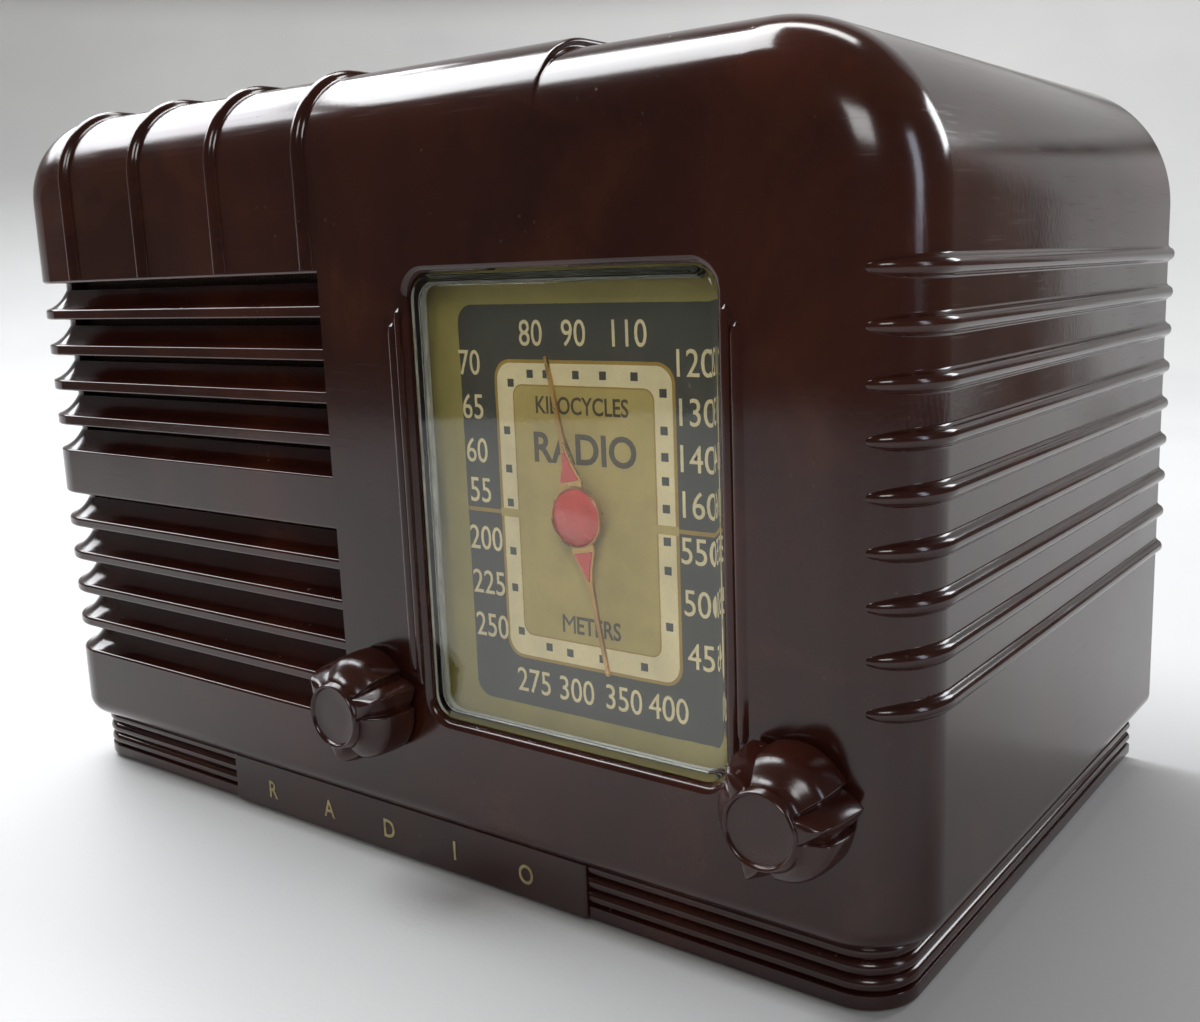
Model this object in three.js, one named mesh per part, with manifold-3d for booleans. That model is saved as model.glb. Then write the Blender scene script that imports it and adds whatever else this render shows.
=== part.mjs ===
// Table radio in a one-piece bakelite cabinet, with its chassis, tuner, speaker and rear cover.
// Millimetres, +Z up. The front faces -Y, and the four felt feet stand on z = 0.
import * as THREE from 'three';
import { mergeVertices } from 'three/addons/utils/BufferGeometryUtils.js';
import Module from 'manifold-3d';

const wasm = await Module();
wasm.setup();

// ---------------------------------------------------------------- driving dimensions

const GAP = 0.3; // air left between pieces that touch
const FAR = 400; // well outside the radio, for blocks that trim

const cabinet = {
  left: -127.5, right: 126.3, front: -67.3, back: 81.7,
  floorLow: 10, floorTop: 14, wall: 3.5,
  topLeft: 173.5, topRight: 171.1, // the roof steps down to the right
  stepX: 53, cornerLeft: 21, cornerRight: 30.5,
  frontRadius: 15, // rounding of the front edges under the lower part of the roof
  skirtLow: 13.4, skirtRoll: 5,
};
const plinth = { low: 1, inset: 4.5, beadPitch: 3.14, beadRadius: 1.55, lowestBead: 5.5, bandTop: 3.9 };
const nameplate = { left: -58.5, right: 55, low: 1, high: 13.2, inset: 3.7 };
const grille = {
  right: -8, top: 131.8, pitch: 9.22, face: 2.7, groove: 5.6, rise: 4.6, depth: 10,
  upperSlats: 4, lowerSlats: 4, wrapBack: -22.3, clothEdge: 1, clothThick: 0.6,
};
const grilleSill = grille.top - (grille.upperSlats + grille.lowerSlats + 3) * grille.pitch;
const topRib = { first: -100.8, pitch: 29.84, count: 4, radius: 1.4 };
const sideRib = { top: 129.6, pitch: 9.03, count: 9, radius: 1.42 };
const window_ = { x: 54.4, z: 84.7, halfWide: 36.6, halfHigh: 46.6, corner: 5, lip: 1.3, lipDepth: 1.2 };
const lens = { sunk: 0.4, rounding: 1.2, flange: 1.8, lip: 2, fit: 0.4 };
const windowBead = { inner: 38.6, outer: 40.6, radius: 0.95, innerHalf: 39.7, outerHalf: 36.8 };
const dialAxis = { x: 54.4, z: 83.8 };
const dialPlateLegs = { half: 43, x: 39, halfWide: 4, drop: 6, bend: 1.2 };
const dialCard = { halfWide: 40, halfHigh: 50, y: cabinet.front + 10, thick: 0.5 };
const pointer_ = { front: dialCard.y - 2.9, reach: 31.6, dart: 3, boss: 6.1 };
const pointerLean = THREE.MathUtils.degToRad(11.3);
const controls = { volumeX: 2.8, tuningX: 106.1, z: 40.1, shaftRadius: 3, hole: 4.5 };
const knob = {
  front: cabinet.front - 14.4, back: cabinet.front - 1.2, disc: 6.7, radius: 11.4, wing: 12.9,
  wingHalf: 3.9, volumeLean: 68, tuningLean: 80, // the first wing, in degrees clockwise from the top
};
const chassis = {
  left: -119, right: 118, back: 68, rearStart: -2, frontLeft: -13, front: -46,
  low: cabinet.floorTop + GAP, top: 54, sheet: 1.2,
};
const drum = { y: -53.8, wide: 4.4, groove: 22, flange: 24.6 };
const gang = { front: -44.4, back: 14, halfWide: 23, low: 56, high: 104, plate: 1.4 };
const gangMiddle = (gang.front + gang.back) / 2;
const cordRadius = 0.4;
const speaker = { x: -64.5, z: 81, radius: 50, mouth: 44, flangeY: cabinet.front + 16.2 };
const board = { right: -11, low: 29, high: 133, thick: 3 };
const rear = { y: 77.6, thick: 2.6, slotHalfWide: 13, slotHalfHigh: 2.5 };
const upperVents = { xs: [-80, -40, 0, 40, 80], zs: [120, 134, 148] };
const lowerVents = { xs: [-40, 0, 40, 80], zs: [34] };
const loop = { left: -92, right: 90, low: 46, high: 112, band: 12, thick: 2.4 };
const screwSpots = [[-114.5, 160.2], [111.5, 156], [-118.3, 23], [117.2, 23]];
const bossRadius = 6.2;
const chassisBolts = [[-92, 58], [92, 58]];
const footRadius = 6;
const feet = [[-112, -50], [110.8, -50], [-112, 70], [110.8, 70]];

// ---------------------------------------------------------------- solids

// A closed mesh as a solid whose faces point outwards.
function solid(geometry) {
  const bare = new THREE.BufferGeometry();
  bare.setAttribute('position', geometry.getAttribute('position'));
  bare.setIndex(geometry.index);
  const merged = mergeVertices(bare);
  const corners = [];
  for (let i = 0; i < merged.index.count; i += 3) {
    const [a, b, c] = [0, 1, 2].map((k) => merged.index.getX(i + k));
    if (a !== b && b !== c && a !== c) corners.push(a, b, c);
  }
  const make = (triVerts) => new wasm.Manifold(
    new wasm.Mesh({ numProp: 3, vertProperties: merged.attributes.position.array, triVerts }));
  const made = make(Uint32Array.from(corners));
  return made.volume() > 0 ? made : make(Uint32Array.from(corners).reverse());
}

function geometryOf(made) {
  const mesh = made.getMesh();
  const geometry = new THREE.BufferGeometry();
  geometry.setAttribute('position', new THREE.BufferAttribute(new Float32Array(mesh.vertProperties), 3));
  geometry.setIndex(new THREE.BufferAttribute(new Uint32Array(mesh.triVerts), 1));
  geometry.computeVertexNormals();
  return geometry;
}

const join = (first, ...others) => others.reduce((sum, other) => sum.add(other), first);
const cut = (first, ...others) => others.reduce((rest, other) => rest.subtract(other), first);

function box(x0, x1, y0, y1, z0, z1) {
  const geometry = new THREE.BoxGeometry(x1 - x0, y1 - y0, z1 - z0);
  return solid(geometry.translate((x0 + x1) / 2, (y0 + y1) / 2, (z0 + z1) / 2));
}

// A rectangle with rounded corners: one radius, or four from the lower left anticlockwise.
function roundedRect(x0, y0, x1, y1, radius) {
  const [a, b, c, d] = Array.isArray(radius) ? radius : [radius, radius, radius, radius];
  const shape = new THREE.Shape();
  shape.moveTo(x0 + a, y0);
  shape.lineTo(x1 - b, y0);
  if (b) shape.absarc(x1 - b, y0 + b, b, -Math.PI / 2, 0, false);
  shape.lineTo(x1, y1 - c);
  if (c) shape.absarc(x1 - c, y1 - c, c, 0, Math.PI / 2, false);
  shape.lineTo(x0 + d, y1);
  if (d) shape.absarc(x0 + d, y1 - d, d, Math.PI / 2, Math.PI, false);
  shape.lineTo(x0, y0 + a);
  if (a) shape.absarc(x0 + a, y0 + a, a, Math.PI, Math.PI * 1.5, false);
  return shape;
}

const polygon = (points) => new THREE.Shape(points.map(([x, y]) => new THREE.Vector2(x, y)));

// An edge rounding for extrude: the outline given is the outer one.
const rounding = (size, segments) => ({
  bevelEnabled: true, bevelThickness: size, bevelSize: size, bevelOffset: -size, bevelSegments: segments,
});

function extrude(shape, low, high, options) {
  const bevel = options?.bevelThickness ?? 0;
  const settings = { depth: high - low - 2 * bevel, bevelEnabled: false, curveSegments: 3, ...options };
  return new THREE.ExtrudeGeometry(shape, settings).translate(0, 0, low + bevel);
}

const X = new THREE.Vector3(1, 0, 0);
const Y = new THREE.Vector3(0, 1, 0);
const Z = new THREE.Vector3(0, 0, 1);

// A shape drawn in plan (X, Y) and raised from z0 to z1.
const plan = (shape, z0, z1, options) => solid(extrude(shape, z0, z1, options));

// A shape drawn as seen from the front (X, Z) and run from y0 back to y1.
function frontal(shape, y0, y1, options) {
  const turn = new THREE.Matrix4().makeBasis(X, Z, Y.clone().negate());
  return solid(extrude(shape, -y1, -y0, options).applyMatrix4(turn));
}

// A shape drawn as seen from the side (Y, Z) and run from x0 to x1.
function sideways(shape, x0, x1, options) {
  const turn = new THREE.Matrix4().makeBasis(Y, Z, X);
  return solid(extrude(shape, x0, x1, options).applyMatrix4(turn));
}

// Round pieces. A rod along Y, a post along Z, and profiles of [radius, along] turned round either.
function rodY(x, z, radius, y0, y1, sides = 16) {
  const geometry = new THREE.CylinderGeometry(radius, radius, y1 - y0, sides);
  return solid(geometry.translate(x, (y0 + y1) / 2, z));
}

function postZ(x, y, radius, z0, z1, sides = 16) {
  const geometry = new THREE.CylinderGeometry(radius, radius, z1 - z0, sides);
  return solid(geometry.rotateX(Math.PI / 2).translate(x, y, (z0 + z1) / 2));
}

const turned = (profile, sides) => new THREE.LatheGeometry(
  profile.map(([r, along]) => new THREE.Vector2(r, along)), sides);
const turnedY = (profile, x, z, sides = 20) => solid(turned(profile, sides).translate(x, 0, z));
const turnedZ = (profile, x, y, sides = 14) => solid(
  turned(profile, sides).rotateX(Math.PI / 2).translate(x, y, 0));

// A route through given points, one step of the sweep for each.
class Route extends THREE.Curve {
  constructor(points) {
    super();
    this.points = points;
  }

  getPoint(t, target = new THREE.Vector3()) {
    const place = Math.min(Math.max(t, 0), 1) * (this.points.length - 1);
    const start = Math.min(Math.floor(place), this.points.length - 2);
    return target.lerpVectors(this.points[start], this.points[start + 1], place - start);
  }

  getUtoTmapping(u) {
    return u;
  }
}

function rodAlong(points, radius, sides = 8) {
  const section = new THREE.Shape().absarc(0, 0, radius, 0, Math.PI * 2, false);
  return solid(new THREE.ExtrudeGeometry(section, {
    steps: points.length - 1, extrudePath: new Route(points), curveSegments: sides / 2,
  }));
}

// Points round an arc, both ends included; place turns an angle into a point.
const arc = (from, to, steps, place) => Array.from(
  { length: steps + 1 }, (_, i) => place(from + ((to - from) * i) / steps));

// ---------------------------------------------------------------- materials and nodes

const material = (color, roughness, metalness = 0) => new THREE.MeshStandardMaterial(
  { color, roughness, metalness });
const bakelite = material(0x2a0f0a, 0.18);
const clear = new THREE.MeshStandardMaterial(
  { color: 0xe8ece0, roughness: 0.05, metalness: 0, transparent: true, opacity: 0.35 });
const printedCard = material(0x6e6b33, 0.6);
const brass = material(0xb08a45, 0.35, 1);
const steel = material(0xa9a9a2, 0.45, 1);
const aluminium = material(0xc4c6c4, 0.4, 1);
const copper = material(0x9a5a32, 0.4, 1);
const fibreboard = material(0x4a3726, 0.85);
const cloth = material(0x6b5233, 0.9);
const paperCone = material(0x2c2822, 0.9);
const blackPlastic = material(0x151312, 0.5);
const tubeGlass = material(0x8f9894, 0.1);
const rubber = material(0x1b1a19, 0.8);
const felt = material(0x3a2f28, 0.95);
const waxedCord = material(0x2b2620, 0.8);

const radio = new THREE.Group();

function add(name, shape, look) {
  const mesh = new THREE.Mesh(geometryOf(shape), look);
  mesh.name = name;
  radio.add(mesh);
}

// ---------------------------------------------------------------- cabinet

const farBack = cabinet.back + 40; // shapes run past the open back and are trimmed there
const farBelow = -60;

// The roof's two levels share the line where the front face starts to curve.
const faceTop = cabinet.topRight - cabinet.frontRadius;

function shellBlock(right, top, corners, radius) {
  const outline = roundedRect(cabinet.left, farBelow, right, top, [0, 0, ...corners]);
  return frontal(outline, cabinet.front, farBack, rounding(radius, 5));
}

function cabinetOutside() {
  const low = shellBlock(
    cabinet.right, cabinet.topRight, [cabinet.cornerRight, cabinet.cornerLeft], cabinet.frontRadius);
  const tallRadius = cabinet.topLeft - faceTop;
  const tall = shellBlock(cabinet.stepX + 40, cabinet.topLeft, [0, cabinet.cornerLeft], tallRadius);
  const tallPart = cut(tall, box(cabinet.stepX, FAR, -FAR, FAR, -FAR, FAR));
  const skirt = plan(planOutline(0), cabinet.skirtLow, 300, rounding(cabinet.skirtRoll, 3));
  return join(low, tallPart).intersect(skirt);
}

const plinthPlate = (inset, low, high, options) => plan(
  planOutline(inset), low, high, { curveSegments: 2, ...options });

function plinthSolid() {
  const { beadRadius } = plinth;
  const core = plinthPlate(plinth.inset + beadRadius, plinth.low, cabinet.floorTop);
  const band = plinthPlate(plinth.inset, plinth.low, plinth.bandTop);
  const beads = [0, 1, 2].map((i) => {
    const middle = plinth.lowestBead + i * plinth.beadPitch;
    return plinthPlate(
      plinth.inset, middle - beadRadius - 0.02, middle + beadRadius + 0.02, rounding(beadRadius, 2));
  });
  const plate = box(
    nameplate.left, nameplate.right, cabinet.front + nameplate.inset, cabinet.front + 12,
    nameplate.low, nameplate.high);
  return join(core, band, ...beads, plate);
}

// Half-round ribs that climb the front above the grille and cross the roof to the back.
function roofRib(x) {
  const radius = cabinet.topLeft - faceTop;
  const centre = new THREE.Vector3(x, cabinet.front + radius, faceTop);
  const bend = arc(Math.PI / 2, Math.PI, 5, (angle) => new THREE.Vector3(
    x, centre.y + radius * Math.cos(angle), centre.z + radius * Math.sin(angle)));
  const back = new THREE.Vector3(x, farBack, cabinet.topLeft);
  const foot = new THREE.Vector3(x, cabinet.front, grille.top);
  return rodAlong([back, ...bend, foot], topRib.radius);
}

// Half-round ribs along the right side, which sink to a point round the front corner.
function flankRib(z) {
  const radius = cabinet.frontRadius;
  const tipAngle = THREE.MathUtils.degToRad(64);
  const bend = arc(0, tipAngle, 4, (angle) => {
    const sunk = (radius - 1.7 * (angle / tipAngle) ** 1.5);
    return new THREE.Vector3(
      cabinet.right - radius + sunk * Math.cos(angle),
      cabinet.front + radius - sunk * Math.sin(angle), z);
  });
  return rodAlong([new THREE.Vector3(cabinet.right, farBack, z), ...bend], sideRib.radius, 6);
}

function windowBeads() {
  const beads = [];
  for (const side of [-1, 1]) {
    for (const [offset, half] of [
      [windowBead.inner, windowBead.innerHalf], [windowBead.outer, windowBead.outerHalf]]) {
      const x = window_.x + side * offset;
      const ends = [-half, half].map((dz) => new THREE.Vector3(x, cabinet.front, window_.z + dz));
      beads.push(rodAlong(ends, windowBead.radius, 6));
    }
  }
  return beads;
}

// The room inside, leaving deep walls where the louvres are cut.
function cabinetInside() {
  const { wall } = cabinet;
  const outline = roundedRect(
    cabinet.left + wall, farBelow, cabinet.right - wall, cabinet.topRight - wall,
    [0, 0, cabinet.cornerRight - wall, cabinet.cornerLeft - wall]);
  const room = cut(
    frontal(outline, cabinet.front + wall, farBack, rounding(cabinet.frontRadius - wall, 4)),
    box(-FAR, FAR, -FAR, FAR, -FAR, cabinet.floorTop));
  const { depth } = grille;
  const frame = cut(
    box(
      cabinet.left - 5, grille.right + 3, cabinet.front - 5, grille.wrapBack + 3,
      grilleSill - 3, grille.top + 3),
    box(
      cabinet.left + depth, grille.right + 40, cabinet.front + depth, grille.wrapBack + 40, 0, 200));
  return cut(room, frame);
}

// The cabinet's plan inside a given inset, with its two front corners rounded.
function planOutline(inset) {
  const radius = cabinet.frontRadius - inset;
  return roundedRect(
    cabinet.left + inset, cabinet.front + inset, cabinet.right - inset, farBack, [radius, radius, 0, 0]);
}

// One louvre gap: a groove round the left corner, its floor rising inwards, and a slot through
// the front wall at the bottom of it.
function louvreGap(low, high) {
  const { groove, rise, right, wrapBack, depth } = grille;
  const slope = {
    bevelEnabled: true, bevelThickness: rise, bevelSize: groove, bevelOffset: -groove, bevelSegments: 1,
  };
  const slat = plan(planOutline(0), low - 3 * rise, low + rise, slope);
  const core = plan(planOutline(groove), low - 1, high + 1);
  const channel = cut(
    box(cabinet.left - 5, right, cabinet.front - 5, wrapBack, low, high), core, slat);
  const slot = box(
    cabinet.left + cabinet.frontRadius, right, cabinet.front + groove - 1, cabinet.front + depth + 1,
    low + rise, high);
  return join(channel, slot);
}

// The grille is counted down from its top in pitches; the wide band in the middle takes two.
function louvreGaps() {
  const slatLow = (k) => grille.top - k * grille.pitch;
  const below = grille.upperSlats + 2;
  const upper = Array.from({ length: grille.upperSlats + 1 }, (_, i) => i + 1);
  const lower = Array.from({ length: grille.lowerSlats + 1 }, (_, i) => below + 1 + i);
  return [...upper, ...lower].map((k) => louvreGap(slatLow(k) + grille.face, slatLow(k - 1)));
}

function windowOpening() {
  const around = (extra) => roundedRect(
    window_.x - window_.halfWide - extra, window_.z - window_.halfHigh - extra,
    window_.x + window_.halfWide + extra, window_.z + window_.halfHigh + extra, window_.corner + extra);
  const { front, wall } = cabinet;
  return join(
    frontal(around(0), front - 5, front + wall + 3),
    frontal(around(window_.lip), front - 5, front + window_.lipDepth));
}

// The plinth is hollow from below, apart from a block in each corner for a foot.
function plinthPocket() {
  const edge = 9;
  const block = 26;
  const low = plinth.low - 5;
  const { left, right, front, back, floorLow } = cabinet;
  return join(
    box(left + edge, right - edge, front + block, back - block, low, floorLow),
    box(left + block, right - block, front + edge + 3, back - edge, low, floorLow));
}

function cabinetSolid() {
  const ribs = Array.from(
    { length: topRib.count }, (_, i) => roofRib(topRib.first + i * topRib.pitch));
  const flanks = Array.from(
    { length: sideRib.count }, (_, i) => flankRib(sideRib.top - i * sideRib.pitch));
  const outside = join(cabinetOutside(), plinthSolid(), ...ribs, ...flanks, ...windowBeads());
  const hollow = cut(
    outside, cabinetInside(), ...louvreGaps(), windowOpening(), plinthPocket(),
    box(-FAR, FAR, cabinet.back, FAR, -FAR, FAR));
  const bosses = screwSpots.map(([x, z]) => rodY(x, z, bossRadius, 70, rear.y - GAP, 10));
  const holes = [
    ...screwSpots.map(([x, z]) => rodY(x, z, 1.9, 68, 100, 8)),
    ...chassisBolts.map(([x, y]) => postZ(x, y, 2.4, 0, 20, 12)),
    ...[controls.volumeX, controls.tuningX].map((x) => rodY(
      x, controls.z, controls.hole, cabinet.front - 5, cabinet.front + 8)),
  ];
  return cut(join(hollow, ...bosses), ...holes);
}

// ---------------------------------------------------------------- window and dial

// The lens plugs the window from behind. Its front edges are turned over.
function dialLens() {
  const { front, wall } = cabinet;
  const back = front + wall + lens.flange;
  const outline = (extra) => roundedRect(
    window_.x - window_.halfWide - extra, window_.z - window_.halfHigh - extra,
    window_.x + window_.halfWide + extra, window_.z + window_.halfHigh + extra, window_.corner);
  const body = cut(
    frontal(outline(-lens.fit), front + lens.sunk, front + 30, rounding(lens.rounding, 3)),
    box(-FAR, FAR, back, FAR, -FAR, FAR));
  return join(body, frontal(outline(lens.lip), front + wall + GAP, back));
}

function lensClip(side) {
  const x = window_.x + side * (window_.halfWide + 0.6);
  const y = cabinet.front + cabinet.wall + lens.flange + GAP;
  return box(x - 1.2, x + 1.2, y, y + 0.8, window_.z - 9, window_.z + 9);
}

// The metal plate behind the card stands on two legs, bent down over the front of the chassis.
function dialPlate() {
  const { half, x: legX, halfWide, drop, bend } = dialPlateLegs;
  const y = dialCard.y + dialCard.thick + GAP;
  const foot = chassis.top - drop;
  const tabBack = chassis.front - GAP;
  const sheet = box(
    dialAxis.x - half, dialAxis.x + half, y, y + 0.9, foot, window_.z + dialCard.halfHigh + 4);
  const legs = [-1, 1].map((side) => {
    const x = dialAxis.x + side * legX;
    return join(
      box(x - halfWide, x + halfWide, y + 0.4, tabBack, foot, foot + bend),
      box(x - halfWide, x + halfWide, tabBack - 1, tabBack, foot - 10, foot + bend));
  });
  return cut(join(sheet, ...legs), rodY(dialAxis.x, dialAxis.z, 4.2, y - 2, y + 3));
}

function dialCardSheet() {
  const { y, thick, halfWide, halfHigh } = dialCard;
  const outline = roundedRect(
    window_.x - halfWide, window_.z - halfHigh, window_.x + halfWide, window_.z + halfHigh, 2);
  return cut(frontal(outline, y, y + thick), rodY(dialAxis.x, dialAxis.z, 3.8, y - 2, y + 3));
}

// A double-ended needle on a round boss, leaning a little left of upright.
function pointer() {
  const { front, reach, dart, boss } = pointer_;
  const needle = polygon([
    [-0.35, reach], [0.35, reach], [0.7, 13], [dart, boss + 1], [dart, -boss - 1], [0.7, -13],
    [0.35, -reach], [-0.35, -reach], [-0.7, -13], [-dart, -boss - 1], [-dart, boss + 1], [-0.7, 13]]);
  const blade = extrude(needle, 0, 0.7);
  blade.applyMatrix4(new THREE.Matrix4().makeBasis(X, Z, Y.clone().negate()));
  blade.rotateY(-pointerLean);
  const hub = turnedY(
    [[0, front - 1.4], [4, front - 1], [boss, front - 0.2], [boss, front + 0.7], [2.9, front + 0.7],
      [2.9, front + 4.4], [0, front + 4.4]],
    dialAxis.x, dialAxis.z);
  const bore = rodY(dialAxis.x, dialAxis.z, 1.8, front + 0.8, front + 6, 12);
  return cut(join(solid(blade.translate(dialAxis.x, front + 0.7, dialAxis.z)), hub), bore);
}

// ---------------------------------------------------------------- knobs and controls

// A round knob with a flat front disc and three ridged wings, bored for its shaft.
function knobSolid(x, lean) {
  const { front, back, disc, radius, wing, wingHalf } = knob;
  const body = turnedY([
    [0, front + 0.6], [disc - 0.7, front + 0.6], [disc - 0.4, front], [disc, front + 0.1],
    [disc + 0.4, front + 0.9], [radius - 1.8, front + 2.2], [radius - 0.5, front + 4.8],
    [radius, back - 3], [radius, back - 0.3], [radius - 0.4, back], [0, back]], 0, 0);
  const sweepOf = turnedY([
    [0, front + 0.6], [disc, front + 0.6], [radius - 1, front + 2.4], [radius + 0.6, front + 5],
    [wing, back - 2], [wing, back - 0.3], [0, back - 0.3]], 0, 0, 36);
  const ridge = frontal(
    polygon([[0, 0], [-wingHalf, radius - 1], [0, wing], [wingHalf, radius - 1]]), front, back);
  const wings = [0, 1, 2].map((i) => sweepOf.intersect(ridge.rotate([0, 120 * i + lean, 0])));
  const bore = rodY(0, 0, controls.shaftRadius + GAP, front + 3, back + 1, 12);
  return cut(join(body, ...wings), bore).translate([x, 0, controls.z]);
}

function controlShaft(x, back) {
  return rodY(x, controls.z, controls.shaftRadius, knob.front + 3 + GAP, back, 16);
}

// A threaded bushing with its nut, held in the front apron of the chassis.
function bushing(x, back) {
  const inner = controls.shaftRadius + GAP;
  const y = chassis.front;
  return cut(
    turnedY([[0, y - 3.4], [6.8, y - 3.4], [6.8, y - GAP], [4.6, y - GAP],
      [4.6, y + chassis.sheet + GAP], [6.4, y + chassis.sheet + GAP], [6.4, back], [0, back]],
    x, controls.z, 12),
    rodY(x, controls.z, inner, -FAR, FAR, 12));
}

function volumeControl() {
  const { volumeX: x, z, shaftRadius } = controls;
  const { front, sheet } = chassis;
  const y = front + sheet + GAP;
  const can = turnedY([[0, y], [12, y], [12, y + 13], [11, y + 14], [0, y + 14]], x, z);
  const neck = turnedY([
    [0, front - 7], [4.4, front - 7], [4.4, front - 3], [6.8, front - 3],
    [6.8, front - GAP], [4.6, front - GAP], [4.6, y + 1], [0, y + 1]], x, z, 12);
  const lugs = [-5, 0, 5].map((dx) => box(
    x + dx - 1.1, x + dx + 1.1, y + 3, y + 3.8, z - 17, z - 10));
  return cut(join(can, neck, ...lugs), rodY(x, z, shaftRadius + GAP, -FAR, y + 9, 16));
}

// ---------------------------------------------------------------- tuner

// A bent steel cradle: end plates and a middle screen joined by a floor.
function gangFrame() {
  const { x, z } = dialAxis;
  const { halfWide, low, high, plate, front, back } = gang;
  const ends = [front, gangMiddle - plate / 2, back - plate].map((y) => frontal(
    roundedRect(x - halfWide, low, x + halfWide, high, [0, 0, 6, 6]), y, y + plate));
  const floor = box(x - halfWide, x + halfWide, front, back, low, low + plate);
  return cut(join(...ends, floor), rodY(x, z, 3.4, -FAR, FAR, 16));
}

const sections = [gang.front + 5.5, gangMiddle + 4.5]; // the first plate of each section
const platePitch = 5;
const platesInSection = 3;

// Half-round vanes on the shaft, swung up out of the stators where the pointer is near the middle.
function gangRotor() {
  const { x, z } = dialAxis;
  const shaft = join(
    rodY(x, z, 1.5, dialCard.y - 1.3, drum.y - 1, 10),
    rodY(x, z, 3, drum.y - 1.2, gang.back + 4, 12));
  const vane = new THREE.Shape();
  vane.moveTo(4, 0);
  vane.absarc(0, 0, 19, 0, Math.PI, false);
  vane.absarc(0, 0, 4, Math.PI, Math.PI * 2, false);
  const vanes = sections.flatMap((start) => Array.from({ length: platesInSection }, (_, i) => {
    const y = start + i * platePitch;
    return frontal(vane, y, y + 0.9)
      .rotate([0, THREE.MathUtils.radToDeg(-pointerLean), 0])
      .translate([x, 0, z]);
  }));
  return join(shaft, ...vanes);
}

function gangStator(start) {
  const { x, z } = dialAxis;
  const plates = Array.from({ length: platesInSection - 1 }, (_, i) => {
    const y = start + (i + 0.5) * platePitch;
    const sheet = box(x - 20.5, x + 20.5, y, y + 0.9, gang.low + 4, z + 2);
    return cut(sheet, rodY(x, z, 5, y - 1, y + 2, 10));
  });
  const bars = [-1, 1].map((side) => box(
    x + side * 20.2 - 1, x + side * 20.2 + 1, start + 1, start + (platesInSection - 1) * platePitch - 0.2,
    z - 6, z - 2));
  return join(...plates, ...bars);
}

// The drive drum clamps on the front of the rotor's shaft; its groove carries the dial cord.
function driveDrum() {
  const { y, wide, groove, flange } = drum;
  const back = y + wide;
  const wheel = turnedY([
    [3.4, y], [6, y], [6, y + 1.2], [groove - 4, y + 1.2], [groove - 4, y + 0.4], [flange, y + 0.4],
    [flange, y + 1.1], [groove, y + 1.6], [groove, back - 1.6], [flange, back - 1.1],
    [flange, back - 0.4],
    [groove - 4, back - 0.4], [groove - 4, y + 2.4], [6, y + 2.4], [6, back], [3.4, back], [3.4, y]],
  dialAxis.x, dialAxis.z, 20);
  const windows = [45, 165, 285].map((angle) => {
    const at = THREE.MathUtils.degToRad(angle);
    return rodY(dialAxis.x + 12 * Math.cos(at), dialAxis.z + 12 * Math.sin(at), 4, y - 1, back + 1, 6);
  });
  return cut(wheel, ...windows);
}

// Cord: round the drum, down to two turns on the tuning shaft, and back up to the drum.
function driveCord() {
  const y = drum.y + drum.wide / 2;
  const onDrum = drum.groove + GAP + cordRadius;
  const onShaft = controls.shaftRadius + GAP + cordRadius;
  const from = new THREE.Vector2(dialAxis.x, dialAxis.z);
  const to = new THREE.Vector2(controls.tuningX, controls.z);
  const line = to.clone().sub(from);
  const heading = line.angle();
  const slant = Math.acos((onDrum - onShaft) / line.length());
  const at = (centre, radius, angle, along) => new THREE.Vector3(
    centre.x + radius * Math.cos(angle), along, centre.y + radius * Math.sin(angle));
  const anchor = heading + Math.PI; // both ends enter the drum on the side away from the shaft
  const apart = 0.06;
  const turns = 2;
  const climb = 1.1; // sideways travel of the cord for each turn on the shaft
  const over = heading + slant;
  const under = heading - slant;
  const firstDrum = arc(anchor - apart, over, 7, (angle) => at(from, onDrum, angle, y));
  const wound = 2 * Math.PI * turns + (over - under);
  const onShaftTurns = arc(0, 1, 20, (t) => at(
    to, onShaft, over - wound * t, y + climb * turns * (0.5 - t)));
  const lastDrum = arc(under + 2 * Math.PI, anchor + apart, 7, (angle) => at(from, onDrum, angle, y));
  return rodAlong([...firstDrum, ...onShaftTurns, ...lastDrum], cordRadius, 8);
}

// ---------------------------------------------------------------- chassis and what stands on it

const tubes = [
  { name: 'rectifier_tube', x: -98, y: 46, tall: 66, radius: 14 },
  { name: 'output_tube', x: -62, y: 46, tall: 66, radius: 14 },
  { name: 'detector_tube', x: -28, y: 48, tall: 62, radius: 13.5 },
  { name: 'if_amplifier_tube', x: 41.5, y: 48, tall: 62, radius: 13.5 },
  { name: 'converter_tube', x: 102, y: 40, tall: 62, radius: 13.5 },
];
const cans = [
  { name: 'if_transformer_1', x: 72, y: 44 },
  { name: 'if_transformer_2', x: 7, y: 48 },
];
const socketHole = 14.5;
const filterCan = { x: -28, y: 14, radius: 11.5, tall: 60 };
const transformer = { x: -96, y: 15, coreWide: 32, coreDeep: 18, tall: 28, strap: 44 };

function chassisPan() {
  const { left, right, front, back, rearStart, frontLeft, low, top, sheet } = chassis;
  const outline = (inset) => polygon([
    [left + inset, rearStart + inset], [frontLeft + inset, rearStart + inset],
    [frontLeft + inset, front + inset], [right - inset, front + inset],
    [right - inset, back - inset], [left + inset, back - inset]]);
  const skin = cut(plan(outline(0), low, top), plan(outline(sheet), low - 5, top - sheet));
  const flanges = chassisBolts.map(([x]) => box(x - 9, x + 9, back - 18, back - 0.4, low, low + sheet));
  const holes = [
    ...tubes.map(({ x, y }) => postZ(x, y, socketHole, top - 5, top + 5, 14)),
    ...chassisBolts.map(([x, y]) => postZ(x, y, 2.4, low - 5, low + 5, 12)),
    ...[controls.volumeX, controls.tuningX].map((x) => rodY(x, controls.z, 4.9, front - 2, front + 3)),
  ];
  return cut(join(skin, ...flanges), ...holes);
}

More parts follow.
